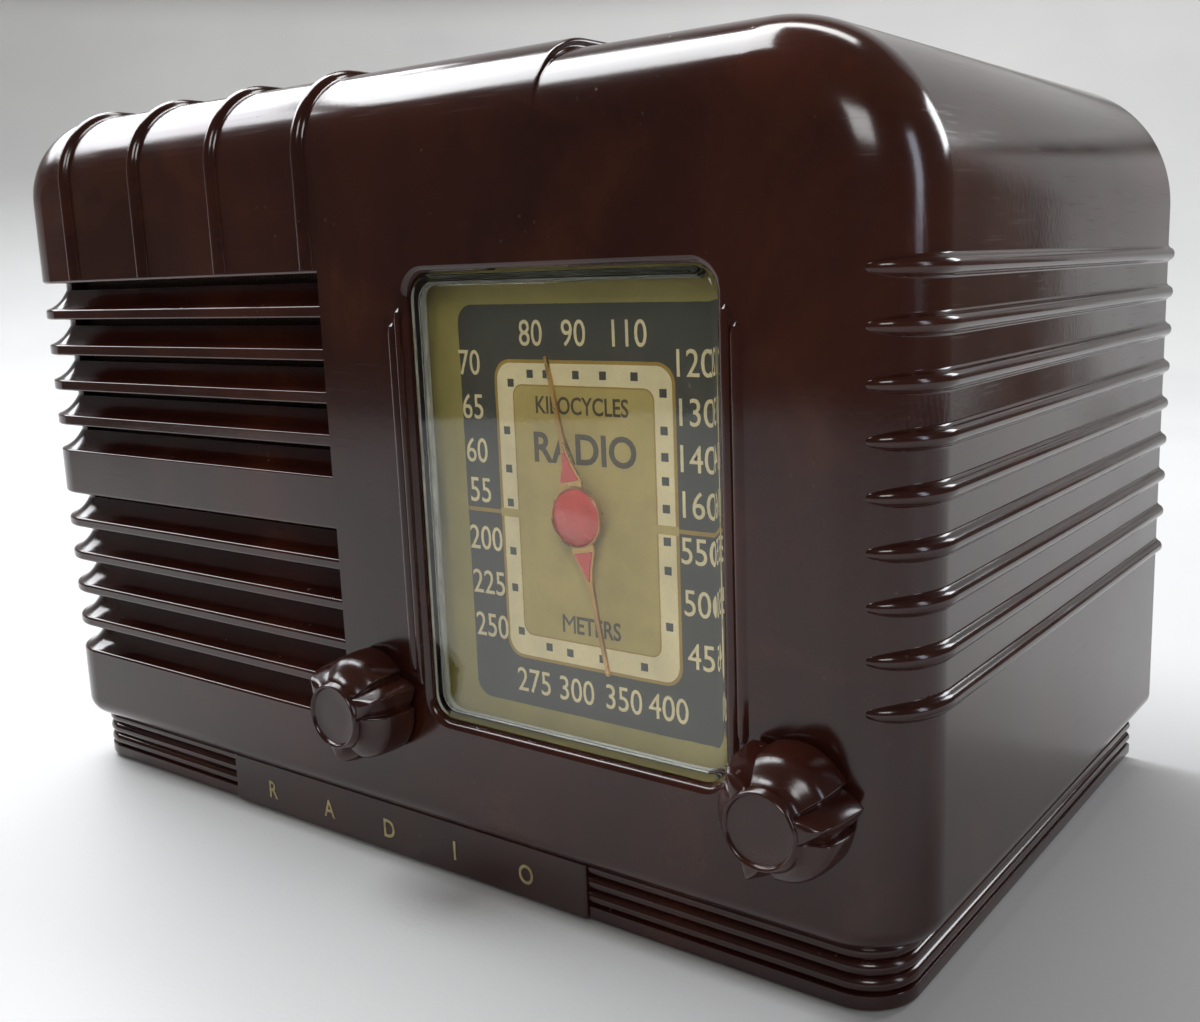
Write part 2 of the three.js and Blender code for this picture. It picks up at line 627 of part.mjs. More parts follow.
function tubeSocket({ x, y }) {
  const { top, sheet } = chassis;
  return cut(
    turnedZ([[0, top - 6], [12, top - 6], [socketHole - GAP, top - sheet], [socketHole - GAP, top + GAP],
      [15.6, top + GAP], [15.6, top + 1.5], [13, top + 3], [0, top + 3]], x, y),
    postZ(x, y, 4, top - 2, top + 5, 10));
}

// A glass envelope on a moulded base, with its locating spigot in the socket.
function tube({ x, y, tall, radius }) {
  const z = chassis.top + 3 + GAP;
  return turnedZ([
    [0, z - 2.5], [3.4, z - 2.5], [3.4, z], [radius + 1, z], [radius + 1, z + 14], [radius, z + 15],
    [radius, z + tall - 8], [radius * 0.72, z + tall - 2], [0, z + tall]], x, y);
}

function shieldCan({ x, y }) {
  const z = chassis.top + GAP;
  const halfSide = 14;
  return join(
    plan(roundedRect(x - halfSide, y - halfSide, x + halfSide, y + halfSide, 3), z, z + 68,
      { ...rounding(1.2, 1), curveSegments: 1 }),
    postZ(x, y, 2.6, z + 66, z + 69.5, 10));
}

function filterCapacitor() {
  const { x, y, radius, tall } = filterCan;
  const z = chassis.top + GAP;
  return turnedZ([
    [0, z], [radius + 1, z], [radius + 1, z + 3], [radius, z + 4], [radius, z + tall - 2],
    [radius - 1.5, z + tall], [0, z + tall]], x, y);
}

// A laminated core crossed by its coil, held down by a strap.
function outputTransformer() {
  const { x, y, coreWide, coreDeep, tall, strap } = transformer;
  const z = chassis.top + GAP;
  const block = (wide, deep, low, high) => box(
    x - wide / 2, x + wide / 2, y - deep / 2, y + deep / 2, z + low, z + high);
  return join(
    block(coreWide, coreDeep, 2, tall),
    block(coreWide - 12, coreDeep + 14, 6, tall - 4),
    block(strap, coreDeep - 8, 0, 2.4));
}

function bolt([x, y]) {
  const head = cabinet.floorLow - GAP;
  return join(
    postZ(x, y, 4.4, head - 3.2, head, 6),
    postZ(x, y, 2, head - 0.2, cabinet.floorTop + 7, 12));
}

// ---------------------------------------------------------------- speaker and grille cloth

function grilleCloth() {
  const inner = cabinet.front + grille.depth;
  const side = cabinet.left + grille.depth;
  const { clothThick: thick } = grille;
  const outline = polygon([
    [side + GAP, inner + GAP], [grille.right - 1, inner + GAP],
    [grille.right - 1, inner + GAP + thick],
    [side + GAP + thick, inner + GAP + thick], [side + GAP + thick, grille.wrapBack + 2],
    [side + GAP, grille.wrapBack + 2]]);
  return plan(outline, grilleSill - grille.clothEdge, grille.top + grille.clothEdge);
}

function speakerBoard() {
  const behindCloth = grille.depth + 2 * GAP + grille.clothThick;
  const y = cabinet.front + behindCloth;
  return cut(
    box(cabinet.left + behindCloth, board.right, y, y + board.thick, board.low, board.high),
    rodY(speaker.x, speaker.z, speaker.mouth, y - 1, y + board.thick + 2, 24));
}

// A pressed steel cone frame: flat rim, four openings and a cup that holds the magnet.
function speakerBasket() {
  const y = speaker.flangeY;
  const { x, z, radius, mouth } = speaker;
  const shell = turnedY([
    [radius, y], [radius, y + 1.2], [mouth, y + 1.2], [mouth - 3, y + 8], [19, y + 26],
    [17, y + 27], [17, y + 31], [12, y + 31], [12, y + 29.8], [15.6, y + 29.8], [15.6, y + 26.2],
    [17.8, y + 25], [mouth - 4.4, y + 7.2], [mouth - 1, y], [radius, y]], x, z, 20);
  const ports = [0, 1, 2, 3].map((i) => {
    const at = Math.PI / 4 + (i * Math.PI) / 2;
    return rodY(x + 31 * Math.cos(at), z + 31 * Math.sin(at), 9, y + 7, y + 24, 6);
  });
  return cut(shell, ...ports);
}

function coneSurround() {
  const y = speaker.flangeY - GAP;
  const { x, z, radius, mouth } = speaker;
  return turnedY([
    [radius - 1, y - 1.4], [radius - 1, y], [mouth - 4, y], [mouth - 4, y - 0.5], [mouth - 2, y - 1.4],
    [radius - 1, y - 1.4]], x, z, 24);
}

function speakerCone() {
  const y = speaker.flangeY;
  const { x, z, mouth } = speaker;
  const rim = mouth - 5.6;
  return turnedY([
    [0, y + 15.5], [5, y + 16], [9, y + 18], [10.4, y + 19.6], [rim, y - 0.2],
    [rim + 0.4, y + 0.8], [11.2, y + 20.9], [10.4, y + 27], [9.6, y + 27], [9.6, y + 20],
    [5, y + 17.2], [0, y + 16.7]], x, z, 24);
}

function speakerMagnet() {
  const y = speaker.flangeY + 31 + GAP;
  const { x, z } = speaker;
  return turnedY([
    [0, y - 5], [8.4, y - 5], [8.4, y], [17.5, y], [17.5, y + 3], [21, y + 3], [21, y + 15],
    [17.5, y + 15], [17.5, y + 18], [0, y + 18]], x, z, 16);
}

// ---------------------------------------------------------------- lamp

const lamp = { x: 84, z: 132 };

function lampSocket() {
  const y = dialCard.y + dialCard.thick + GAP + 0.9 + GAP;
  return cut(
    join(
      turnedY([[0, y], [5.6, y], [5.6, y + 12], [0, y + 12]], lamp.x, lamp.z, 16),
      box(lamp.x - 4, lamp.x + 4, y, y + 1, lamp.z - 14, lamp.z)),
    rodY(lamp.x, lamp.z, 4.6, y + 3, y + 20, 16));
}

function dialLamp() {
  const y = dialCard.y + dialCard.thick + 2 * GAP + 0.9 + 3 + GAP;
  return turnedY([
    [0, y], [4.2, y], [4.2, y + 8], [5, y + 12], [4.2, y + 16], [2, y + 18], [0, y + 18.6]],
  lamp.x, lamp.z, 16);
}

// ---------------------------------------------------------------- rear cover

const gland = { x: -84, z: 34 };

function ventSlots({ xs, zs }) {
  const { y, slotHalfWide, slotHalfHigh } = rear;
  return zs.flatMap((z) => xs.map((x) => box(
    x - slotHalfWide, x + slotHalfWide, y - 2, y + 6, z - slotHalfHigh, z + slotHalfHigh)));
}

function rearCover() {
  const { left, right, wall, floorTop, topRight, cornerLeft, cornerRight } = cabinet;
  const fit = 0.5;
  const inset = wall + fit;
  const outline = roundedRect(
    left + inset, floorTop + fit, right - inset, topRight - inset,
    [3, 3, cornerRight - inset, cornerLeft - inset]);
  const sheet = frontal(outline, rear.y, rear.y + rear.thick);
  const screwHoles = screwSpots.map(([x, z]) => rodY(x, z, 1.9, rear.y - 2, rear.y + 6, 8));
  const cordHole = rodY(gland.x, gland.z, 5, rear.y - 2, rear.y + 6, 16);
  return cut(sheet, ...ventSlots(upperVents), ...ventSlots(lowerVents), ...screwHoles, cordHole);
}

// The flat winding of the loop, fixed to the inside of the cover.
function loopAntenna() {
  const { left, right, low, high, band, thick } = loop;
  const y = rear.y - GAP;
  return cut(
    frontal(roundedRect(left, low, right, high, 18), y - thick, y),
    frontal(roundedRect(left + band, low + band, right - band, high - band, 8), y - 5, y + 5));
}

function rearScrew([x, z]) {
  const y = rear.y + rear.thick + GAP;
  return join(
    rodY(x, z, 1.6, rear.y - 8, y + 0.2, 8),
    turnedY([[0, y], [3.4, y], [3.1, y + 0.9], [0, y + 1.2]], x, z, 10));
}

function cordGrommet() {
  const y = rear.y;
  const back = y + rear.thick;
  return turnedY([
    [2.9, y - 2], [6.8, y - 2], [6.8, y - GAP], [4.7, y - GAP], [4.7, back + GAP], [6.8, back + GAP],
    [6.8, back + 1.2], [2.9, back + 1.2], [2.9, y - 2]], gland.x, gland.z, 16);
}

// ---------------------------------------------------------------- the radio

add('cabinet', cabinetSolid(), bakelite);
feet.forEach(([x, y], i) => add(
  `foot_pad_${i + 1}`, postZ(x, y, footRadius, 0, plinth.low - GAP, 16), felt));
add('dial_lens', dialLens(), clear);
add('lens_clip_left', lensClip(-1), steel);
add('lens_clip_right', lensClip(1), steel);
add('dial_card', dialCardSheet(), printedCard);
add('dial_plate', dialPlate(), steel);
add('dial_pointer', pointer(), brass);
add('volume_knob', knobSolid(controls.volumeX, knob.volumeLean), bakelite);
add('volume_shaft', controlShaft(controls.volumeX, chassis.front + chassis.sheet + GAP + 8.5), aluminium);
add('volume_control', volumeControl(), steel);
add('tuning_knob', knobSolid(controls.tuningX, knob.tuningLean), bakelite);
add('tuning_shaft', controlShaft(controls.tuningX, chassis.front + 16), aluminium);
add('tuning_bushing', bushing(controls.tuningX, chassis.front + 10), brass);
add('gang_frame', gangFrame(), steel);
add('gang_rotor', gangRotor(), aluminium);
sections.forEach((start, i) => add(`gang_stator_${i + 1}`, gangStator(start), aluminium));
add('drive_drum', driveDrum(), steel);
add('drive_cord', driveCord(), waxedCord);
add('chassis', chassisPan(), steel);
tubes.forEach((each) => {
  add(each.name, tube(each), tubeGlass);
  add(`${each.name}_socket`, tubeSocket(each), blackPlastic);
});
cans.forEach((each) => add(each.name, shieldCan(each), aluminium));
add('filter_capacitor', filterCapacitor(), aluminium);
add('output_transformer', outputTransformer(), steel);
chassisBolts.forEach((spot, i) => add(`chassis_bolt_${i + 1}`, bolt(spot), steel));
add('grille_cloth', grilleCloth(), cloth);
add('speaker_board', speakerBoard(), fibreboard);
add('speaker_basket', speakerBasket(), steel);
add('cone_surround', coneSurround(), paperCone);
add('speaker_cone', speakerCone(), paperCone);
add('speaker_magnet', speakerMagnet(), steel);
add('lamp_socket', lampSocket(), steel);
add('dial_lamp', dialLamp(), tubeGlass);
add('rear_cover', rearCover(), fibreboard);
add('loop_antenna', loopAntenna(), copper);
screwSpots.forEach((spot, i) => add(`rear_screw_${i + 1}`, rearScrew(spot), steel));
add('cord_grommet', cordGrommet(), rubber);

export default radio;
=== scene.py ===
from math import copysign, cos, hypot, pi, radians, sin, sqrt

import bmesh
import bpy
from mathutils import Matrix, Vector


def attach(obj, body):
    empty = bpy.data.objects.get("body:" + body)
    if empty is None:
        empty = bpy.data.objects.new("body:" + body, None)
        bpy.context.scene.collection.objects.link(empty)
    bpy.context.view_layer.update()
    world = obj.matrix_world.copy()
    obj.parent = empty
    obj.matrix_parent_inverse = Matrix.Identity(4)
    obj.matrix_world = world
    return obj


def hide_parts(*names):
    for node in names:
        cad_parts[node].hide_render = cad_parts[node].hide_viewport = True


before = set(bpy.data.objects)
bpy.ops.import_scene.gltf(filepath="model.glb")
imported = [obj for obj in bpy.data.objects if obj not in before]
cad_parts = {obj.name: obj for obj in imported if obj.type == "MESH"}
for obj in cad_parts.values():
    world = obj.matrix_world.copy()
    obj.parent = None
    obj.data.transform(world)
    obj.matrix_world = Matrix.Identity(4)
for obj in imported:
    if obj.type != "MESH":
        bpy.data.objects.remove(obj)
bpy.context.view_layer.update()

MM = 0.001
MERGE = 2e-7  # points this close, in metres, are one point

# ---------------- dimensions, in millimetres, as in the CAD

LEFT, RIGHT, FRONT, BACK = -127.5, 126.3, -67.3, 81.7
TOP_LEFT, TOP_RIGHT, STEP_X = 173.5, 171.1, 53.0
CORNER_LEFT, CORNER_RIGHT, FRONT_RADIUS = 21.0, 30.5, 15.0
FACE_TOP = TOP_RIGHT - FRONT_RADIUS
ROOF_RADIUS = TOP_LEFT - FACE_TOP
SKIRT_LOW, SKIRT_ROLL = 13.4, 5.0
FLOOR_LOW, FLOOR_TOP, WALL = 10.0, 14.0, 3.5
SEAM_Z = 60.0
FILLET_STEPS = 18
ROOF_RIBS = [-100.8 + 29.84 * i for i in range(4)]
FLANK_RIBS = [129.6 - 9.03 * i for i in range(9)]
GRILLE_TOP, PITCH, SLAT_FACE, GRILLE_RIGHT, GRILLE_DEPTH, WRAP_BACK = 131.8, 9.22, 2.7, -8.0, 10.0, -22.3
GRILLE_LOW = GRILLE_TOP - 11 * PITCH
GROOVE, GROOVE_RISE, SLOT_RISE = 5.6, 4.8, 4.7
WIN_X, WIN_Z, WIN_W, WIN_H, WIN_R = 54.4, 84.7, 36.6, 46.6, 5.0
WINDOW_BEADS = [(38.6, 39.7), (40.6, 36.8)]  # distance from the window's middle, half height
HUB_X, HUB_Z, CARD_Y = 54.4, 83.8, FRONT + 10
VOLUME_X, TUNING_X, KNOB_Z = 2.8, 106.1, 40.1
VOLUME_LEAN, TUNING_LEAN = 68, 80
KNOB_FRONT = FRONT - 14.4
SCREWS = [(-114.5, 160.2), (111.5, 156), (-118.3, 23), (117.2, 23)]
BOSS_RADIUS, SCREW_HOLE = 6.2, 1.9
REAR_Y, REAR_THICK = 77.6, 2.6
REAR_FACE = REAR_Y + REAR_THICK
GLAND_X, GLAND_Z = -84.0, 34.0
POINTER_LEAN = radians(11.3)
TUBES = ("rectifier", "output", "detector", "if_amplifier", "converter")

# ---------------- camera, light and floor


def new_object(name, data):
    made = bpy.data.objects.new(name, data)
    bpy.context.scene.collection.objects.link(made)
    return made


# Area lights: name, place, aim, (width, height), power and colour.
LIGHTS = [
    ("top_light", (-0.62, -0.02, 1.15), (0, 0, 0.1), (0.75, 0.7), 18, (0.96, 0.98, 1.0)),
    ("left_window", (-1.28, 0.12, 0.92), (0, 0, 0.1), (1.2, 0.5), 14, (0.95, 0.96, 1.0)),
    ("back_window", (0.72, 1.12, 0.72), (0.1, 0, 0.12), (0.34, 0.42), 5, (0.93, 0.96, 1.0)),
    ("front_fill", (0.75, -1.1, 0.95), (0, 0, 0.1), (0.5, 0.4), 5, (1, 1, 1)),
    ("right_card", (1.35, 0.0, 0.50), (0.1, 0, 0.14), (0.22, 0.7), 2.6, (0.80, 0.84, 1.0)),
    ("wall_wash", (-0.35, 0.75, 1.9), (-0.5, 2.0, 0.35), (1.3, 0.7), 26, (1, 1, 1)),
]
FLOOR_FLAT, FLOOR_BEND, WALL_TOP = 0.95, 1.35, 2.5
SWEEP_START, SWEEP_END = 68, 205


def make_camera():
    place, roll = Vector((0.20495, -0.24655, 0.13090)), radians(-2.016)
    forward = Vector((-0.58806, 0.78797, -0.18244)).normalized()
    data = bpy.data.cameras.new("camera")
    camera = new_object("camera", data)
    bpy.context.scene.camera = camera
    data.sensor_width = 36
    data.lens = 37.85
    data.shift_x, data.shift_y = -0.0213, -0.0078
    data.clip_start, data.clip_end = 0.01, 50
    level = forward.cross(Vector((0, 0, 1))).normalized()
    up = level.cross(forward)
    right = level * cos(roll) + up * sin(roll)
    above = right.cross(forward)
    turn = Matrix((right, above, -forward)).transposed()
    camera.matrix_world = Matrix.Translation(place) @ turn.to_4x4()


def area_light(name, place, aim, size, power, color):
    data = bpy.data.lights.new(name, "AREA")
    data.shape = "RECTANGLE"
    data.size, data.size_y = size
    data.energy = power
    data.color = color
    light = new_object(name, data)
    light.location = place
    light.rotation_mode = "QUATERNION"
    light.rotation_quaternion = (Vector(aim) - Vector(place)).to_track_quat("-Z", "Y")


def make_stage():
    """A pale floor that sweeps up behind and beside the radio and stops short in front of it."""
    world = bpy.data.worlds.new("studio")
    bpy.context.scene.world = world
    world.use_nodes = True
    background = world.node_tree.nodes["Background"]
    background.inputs["Color"].default_value = (0.95, 0.80, 0.70, 1)
    background.inputs["Strength"].default_value = 0.115
    for light in LIGHTS:
        area_light(*light)
    profile = [(0.02, 0.0), (0.5, 0.0), (FLOOR_FLAT, 0.0)]
    flat_rows = len(profile) - 1
    for degrees in range(6, 91, 6):
        a = radians(degrees)
        profile.append((FLOOR_FLAT + FLOOR_BEND * sin(a), FLOOR_BEND * (1 - cos(a))))
    profile.append((FLOOR_FLAT + FLOOR_BEND, WALL_TOP))
    bm = bmesh.new()
    around = 96
    turns = [2 * pi * i / around for i in range(around)]
    rows = [[bm.verts.new((r * cos(a), r * sin(a), z)) for a in turns] for r, z in profile]
    bm.faces.new(rows[0])
    for k, (a, b) in enumerate(zip(rows, rows[1:])):
        for i in range(around):
            j = (i + 1) % around
            if k < flat_rows or SWEEP_START < 360 * (i + 0.5) / around < SWEEP_END:
                bm.faces.new((a[i], a[j], b[j], b[i]))
    bmesh.ops.delete(bm, geom=[v for v in bm.verts if not v.link_faces], context="VERTS")
    floor = to_object("floor", bm, 60, floor_material())
    for face in floor.data.polygons:
        if face.normal.z < -0.5:
            face.flip()
    bpy.context.scene.view_settings.view_transform = "Standard"
    bpy.context.scene.view_settings.look = "None"


# ---------------- node materials


class Nodes:
    """Short names for building one material's node tree."""

    def __init__(self, name):
        self.material = bpy.data.materials.new(name)
        self.material.use_nodes = True
        self.tree = self.material.node_tree
        self.bsdf = self.tree.nodes["Principled BSDF"]
        self.coords = self.tree.nodes.new("ShaderNodeTexCoord").outputs["Object"]

    def add(self, kind, inputs, **settings):
        node = self.tree.nodes.new("ShaderNode" + kind)
        for key, value in settings.items():
            setattr(node, key, value)
        for key, value in inputs.items():
            self.feed(node.inputs[key], value)
        return node

    def feed(self, socket, value):
        """Links a source to a socket, or sets a number, a vector (list) or a colour (tuple) on it."""
        if isinstance(value, bpy.types.NodeSocket):
            self.tree.links.new(value, socket)
        else:
            socket.default_value = (*value, 1) if isinstance(value, tuple) else value

    def stretched(self, x, y, z):
        return self.add("Mapping", {"Vector": self.coords, "Scale": [x, y, z]}).outputs["Vector"]

    def noise(self, scale, detail, rough=0.55, distortion=0.0, vector=None):
        inputs = {"Vector": vector or self.coords, "Scale": scale, "Detail": detail, "Roughness": rough,
                  "Distortion": distortion}
        return self.add("TexNoise", inputs).outputs["Fac"]

    def ramp(self, source, *stops):
        node = self.add("ValToRGB", {"Fac": source})
        elements = node.color_ramp.elements
        while len(elements) < len(stops):
            elements.new(0.5)
        for element, (place, color) in zip(elements, stops):
            element.position = place
            element.color = (*color, 1)
        return node.outputs["Color"]

    def range(self, source, low, high, to_low, to_high):
        inputs = {"Value": source, "From Min": low, "From Max": high, "To Min": to_low, "To Max": to_high}
        return self.add("MapRange", inputs).outputs["Result"]

    def mix(self, factor, a, b, kind="MIX"):
        return self.add("Mix", {0: factor, 6: a, 7: b}, data_type="RGBA", blend_type=kind).outputs[2]

    def math(self, kind, a, b):
        return self.add("Math", {0: a, 1: b}, operation=kind).outputs[0]

    def bump(self, *heights):
        """Each height is (source, distance in metres)."""
        normal = None
        for source, distance in heights:
            node = self.add("Bump", {"Height": source, "Distance": distance})
            if normal:
                self.feed(node.inputs["Normal"], normal)
            normal = node.outputs["Normal"]
        self.feed(self.bsdf.inputs["Normal"], normal)

    def set(self, **values):
        for key, value in values.items():
            self.feed(self.bsdf.inputs[key.replace("_", " ")], value)
        return self.material


def floor_material():
    n = Nodes("pale_floor")
    tone = n.ramp(n.noise(3.0, 3), (0.3, (0.52, 0.525, 0.525)), (0.7, (0.57, 0.575, 0.57)))
    n.bump((n.noise(900, 2), 0.00004))
    return n.set(Base_Color=tone, Roughness=0.62)


def bakelite_material(name="bakelite", gloss=0.09):
    """Dark red-brown phenolic, with flow marks from the wood flour, light scratches and dust."""
    n = Nodes(name)
    flow = n.noise(9, 5, 0.6, 1.6, n.stretched(1, 1, 0.55))
    patches = n.noise(34, 4, 0.55, 0.8)
    grain = n.noise(420, 3, 0.6)
    body = n.ramp(flow, (0.30, (0.016, 0.0036, 0.0028)), (0.52, (0.030, 0.0068, 0.0045)),
                  (0.75, (0.060, 0.0145, 0.0070)))
    warm = n.ramp(patches, (0.52, (0.0, 0.0, 0.0)), (0.78, (0.038, 0.0108, 0.0035)))
    color = n.mix(0.75, body, warm, "ADD")
    color = n.mix(n.range(grain, 0.35, 0.75, 0.0, 0.22), color, (0.050, 0.016, 0.009))
    split = n.add("SeparateXYZ", {0: n.add("NewGeometry", {}).outputs["Normal"]})
    upward = n.range(split.outputs["Z"], 0.1, 0.9, 0.25, 1.0)
    specks = n.add("TexVoronoi", {"Vector": n.coords, "Scale": 330})
    sparse = n.range(n.noise(60, 3), 0.52, 0.70, 0.0, 1.0)
    speck = n.range(specks.outputs["Distance"], 0.06, 0.13, 1.0, 0.0)
    dust = n.math("MULTIPLY", n.math("MULTIPLY", speck, sparse), upward)
    color = n.mix(n.math("MULTIPLY", dust, 0.55), color, (0.30, 0.26, 0.24))
    smear = n.noise(14, 3, 0.5, 0.6)
    scratch = n.noise(70, 2, 0.4, 0.0, n.stretched(1, 1, 34))
    rough = n.math("ADD", n.range(smear, 0.35, 0.7, gloss, gloss + 0.10),
                   n.range(scratch, 0.62, 0.72, 0.0, 0.07))
    rough = n.math("ADD", rough, n.math("MULTIPLY", dust, 0.4))
    n.bump((n.noise(26, 2, 0.4), 0.00012), (n.noise(900, 2), 0.000006), (dust, 0.00003))
    return n.set(Base_Color=color, Roughness=rough, IOR=1.52)


def metal_material(name, low, high, rough, scale, brushed=(1, 1, 1), stain=(0.10, 0.08, 0.06)):
    """Metal between two tones, brushed along the axes with small factors, with stained patches."""
    n = Nodes(name)
    tone = n.ramp(n.noise(scale, 5), (0.3, low), (0.7, high))
    age = n.range(n.noise(scale * 0.35, 4, 0.65, 0.5), 0.50, 0.75, 0.0, 0.55)
    color = n.mix(age, tone, stain)
    lines = n.noise(260, 3, 0.6, 0.0, n.stretched(*brushed))
    rougher = n.math("ADD", n.range(lines, 0.3, 0.7, rough - 0.08, rough + 0.10),
                     n.math("MULTIPLY", age, 0.3))
    n.bump((lines, 0.00002), (n.noise(scale, 3), 0.00004))
    return n.set(Base_Color=color, Roughness=rougher, Metallic=n.range(age, 0.0, 0.6, 1.0, 0.75))


def plain_material(name, low, high, rough, scale=80, depth=0.00004, fine=700, spread=0.1):
    """A dull surface between two tones, with a fine grain of a given depth in metres."""
    n = Nodes(name)
    tone = n.ramp(n.noise(scale, 5, 0.6, 0.3), (0.3, low), (0.7, high))
    color = n.mix(n.range(n.noise(fine, 3), 0.3, 0.7, 0.0, 0.25), tone, tuple(0.5 * v for v in low))
    n.bump((n.noise(fine, 3), depth))
    roughness = n.range(n.noise(scale * 2, 3), 0.3, 0.7, rough - spread, rough + spread)
    return n.set(Base_Color=color, Roughness=roughness)


def glass_material(name, tint, rough=0.012):
    """Clear moulded glass with fine scratches, which lets the lights through to what lies behind it."""
    n = Nodes(name)
    n.bump((n.noise(14, 2, 0.4), 0.00010), (n.noise(700, 2), 0.000004))
    scratch = n.noise(60, 3, 0.5, 0.2, n.stretched(1, 1, 20))
    roughness = n.range(scratch, 0.60, 0.76, rough, rough + 0.09)
    n.set(Base_Color=tint, Roughness=roughness, IOR=1.5, Transmission_Weight=1.0)
    path = n.add("LightPath", {})
    clear = n.add("BsdfTransparent", {})
    mixed = n.add("MixShader", {0: path.outputs["Is Shadow Ray"], 1: n.bsdf.outputs[0], 2: clear.outputs[0]})
    n.feed(n.tree.nodes["Material Output"].inputs["Surface"], mixed.outputs[0])
    return n.material


def frosted_material(name):
    """The sides of an old clear moulding: milky, with streaks along them."""
    n = Nodes(name)
    streaks = n.noise(120, 4, 0.6, 0.5, n.stretched(1, 8, 1))
    tone = n.ramp(streaks, (0.35, (0.30, 0.33, 0.29)), (0.7, (0.80, 0.82, 0.76)))
    n.bump((n.noise(500, 3), 0.00006))
    roughness = n.range(n.noise(80, 3), 0.3, 0.7, 0.35, 0.6)
    return n.set(Base_Color=tone, Roughness=roughness, IOR=1.5, Transmission_Weight=0.25)


def print_material(name, color, rough=0.55):
    """Printing ink on card, slightly mottled and faded."""
    n = Nodes(name)
    tone = n.ramp(n.noise(90, 5, 0.6), (0.3, tuple(v * 0.78 for v in color)), (0.7, color))
    mottle = n.range(n.noise(1500, 2), 0.45, 0.8, 0.0, 0.20)
    mottled = n.mix(mottle, tone, tuple(v * 0.6 for v in color))
    n.bump((n.noise(1200, 2), 0.000008))
    return n.set(Base_Color=mottled, Roughness=n.range(n.noise(40, 2), 0.3, 0.7, rough - 0.08, rough + 0.08))


def cloth_material():
    """Fine basket weave of two brown threads."""
    n = Nodes("grille_cloth")
    threads = []
    for axis in ("X", "Z"):
        wave = n.add("TexWave", {"Vector": n.coords, "Scale": 260, "Distortion": 0.5, "Detail": 1},
                     wave_type="BANDS", bands_direction=axis, wave_profile="SIN")
        threads.append(wave.outputs["Fac"])
    over = n.math("MAXIMUM", *threads)
    tone = n.ramp(over, (0.2, (0.020, 0.012, 0.007)), (0.8, (0.115, 0.070, 0.035)))
    color = n.mix(n.range(n.noise(18, 4), 0.4, 0.7, 0.0, 0.5), tone, (0.05, 0.03, 0.018))
    n.bump((over, 0.00015))
    roughness = n.range(n.noise(300, 2), 0.3, 0.7, 0.8, 0.95)
    return n.set(Base_Color=color, Roughness=roughness, Sheen_Weight=0.3)


def board_material(name):
    """Pressed fibreboard: short fibres, a burnished face and dark patches."""
    n = Nodes(name)
    fibres = n.noise(380, 5, 0.7, 0.6, n.stretched(0.35, 1, 1.2))
    tone = n.ramp(fibres, (0.3, (0.060, 0.030, 0.015)), (0.55, (0.115, 0.062, 0.032)),
                  (0.8, (0.19, 0.115, 0.062)))
    dark = n.range(n.noise(9, 4, 0.6, 0.4), 0.42, 0.72, 0.0, 0.6)
    color = n.mix(dark, tone, (0.050, 0.026, 0.014))
    n.bump((fibres, 0.00012), (n.noise(1400, 2), 0.00004))
    return n.set(Base_Color=color, Roughness=n.range(n.noise(60, 3), 0.3, 0.7, 0.55, 0.8))


def tube_material():
    """A valve: black base, smoky glass above it and a silvered top."""
    n = Nodes("valve_glass")
    base_top, silver_low, silver_high = 0.0716, 0.107, 0.112
    height = n.add("SeparateXYZ", {0: n.coords}).outputs["Z"]
    wobble = n.math("ADD", height, n.math("MULTIPLY", n.noise(90, 3), 0.004))
    silver = n.range(wobble, silver_low, silver_high, 0.0, 1.0)
    glass = n.range(height, base_top, base_top + 0.0006, 0.0, 1.0)
    color = n.mix(glass, (0.012, 0.010, 0.009), (0.055, 0.060, 0.058))
    color = n.mix(silver, color, (0.45, 0.45, 0.43))
    n.bump((n.noise(40, 2), 0.00008))
    return n.set(Base_Color=color, Metallic=n.math("MULTIPLY", silver, 0.9),
                 Roughness=n.range(glass, 0.0, 1.0, 0.42, 0.08))


# ---------------- meshes


def row(bm, points):
    return [bm.verts.new([c * MM for c in point]) for point in points]


def bridge(bm, a, b, closed=True):
    """Faces between two rows of as many points; a row of one point is a tip."""
    count = max(len(a), len(b))
    for i in range(count if closed else count - 1):
        j = (i + 1) % count
        if len(a) == 1:
            bm.faces.new((a[0], b[j], b[i]))
        elif len(b) == 1:
            bm.faces.new((a[i], a[j], b[0]))
        else:
            bm.faces.new((a[i], a[j], b[j], b[i]))


def loft(bm, rings):
    """Skins closed rings of the same number of points and caps both ends."""
    rows = [row(bm, ring) for ring in rings]
    for a, b in zip(rows, rows[1:]):
        bridge(bm, a, b)
    bm.faces.new(list(reversed(rows[0])))
    bm.faces.new(rows[-1])


def give_finish(bm, faces_before, index):
    bm.faces.ensure_lookup_table()
    for face in bm.faces[faces_before:]:
        face.material_index = index


def mesh_from(bm, name):
    bmesh.ops.recalc_face_normals(bm, faces=bm.faces)
    mesh = bpy.data.meshes.new(name)
    bm.to_mesh(mesh)
    bm.free()
    return mesh


def to_object(name, bm, angle, *materials):
    return object_of(name, mesh_from(bm, name), angle, *materials)


def object_of(name, mesh, angle, *materials):
    shade(mesh, angle)
    for material in materials:
        mesh.materials.append(material)
    return new_object(name, mesh)


def shade(mesh, angle):
    mesh.polygons.foreach_set("use_smooth", [True] * len(mesh.polygons))
    mesh.set_sharp_from_angle(angle=radians(angle))


def face_weighted(piece):
    """Lets large flat faces set the shading where they meet roundings."""
    modifier = piece.modifiers.new("weighted", "WEIGHTED_NORMAL")
    modifier.keep_sharp = True
    modifier.weight = 50
    apply(piece)


def apply(piece):
    graph = bpy.context.evaluated_depsgraph_get()
    graph.update()
    mesh = bpy.data.meshes.new_from_object(piece.evaluated_get(graph))
    mesh.name = piece.name
    piece.modifiers.clear()
    piece.data = mesh


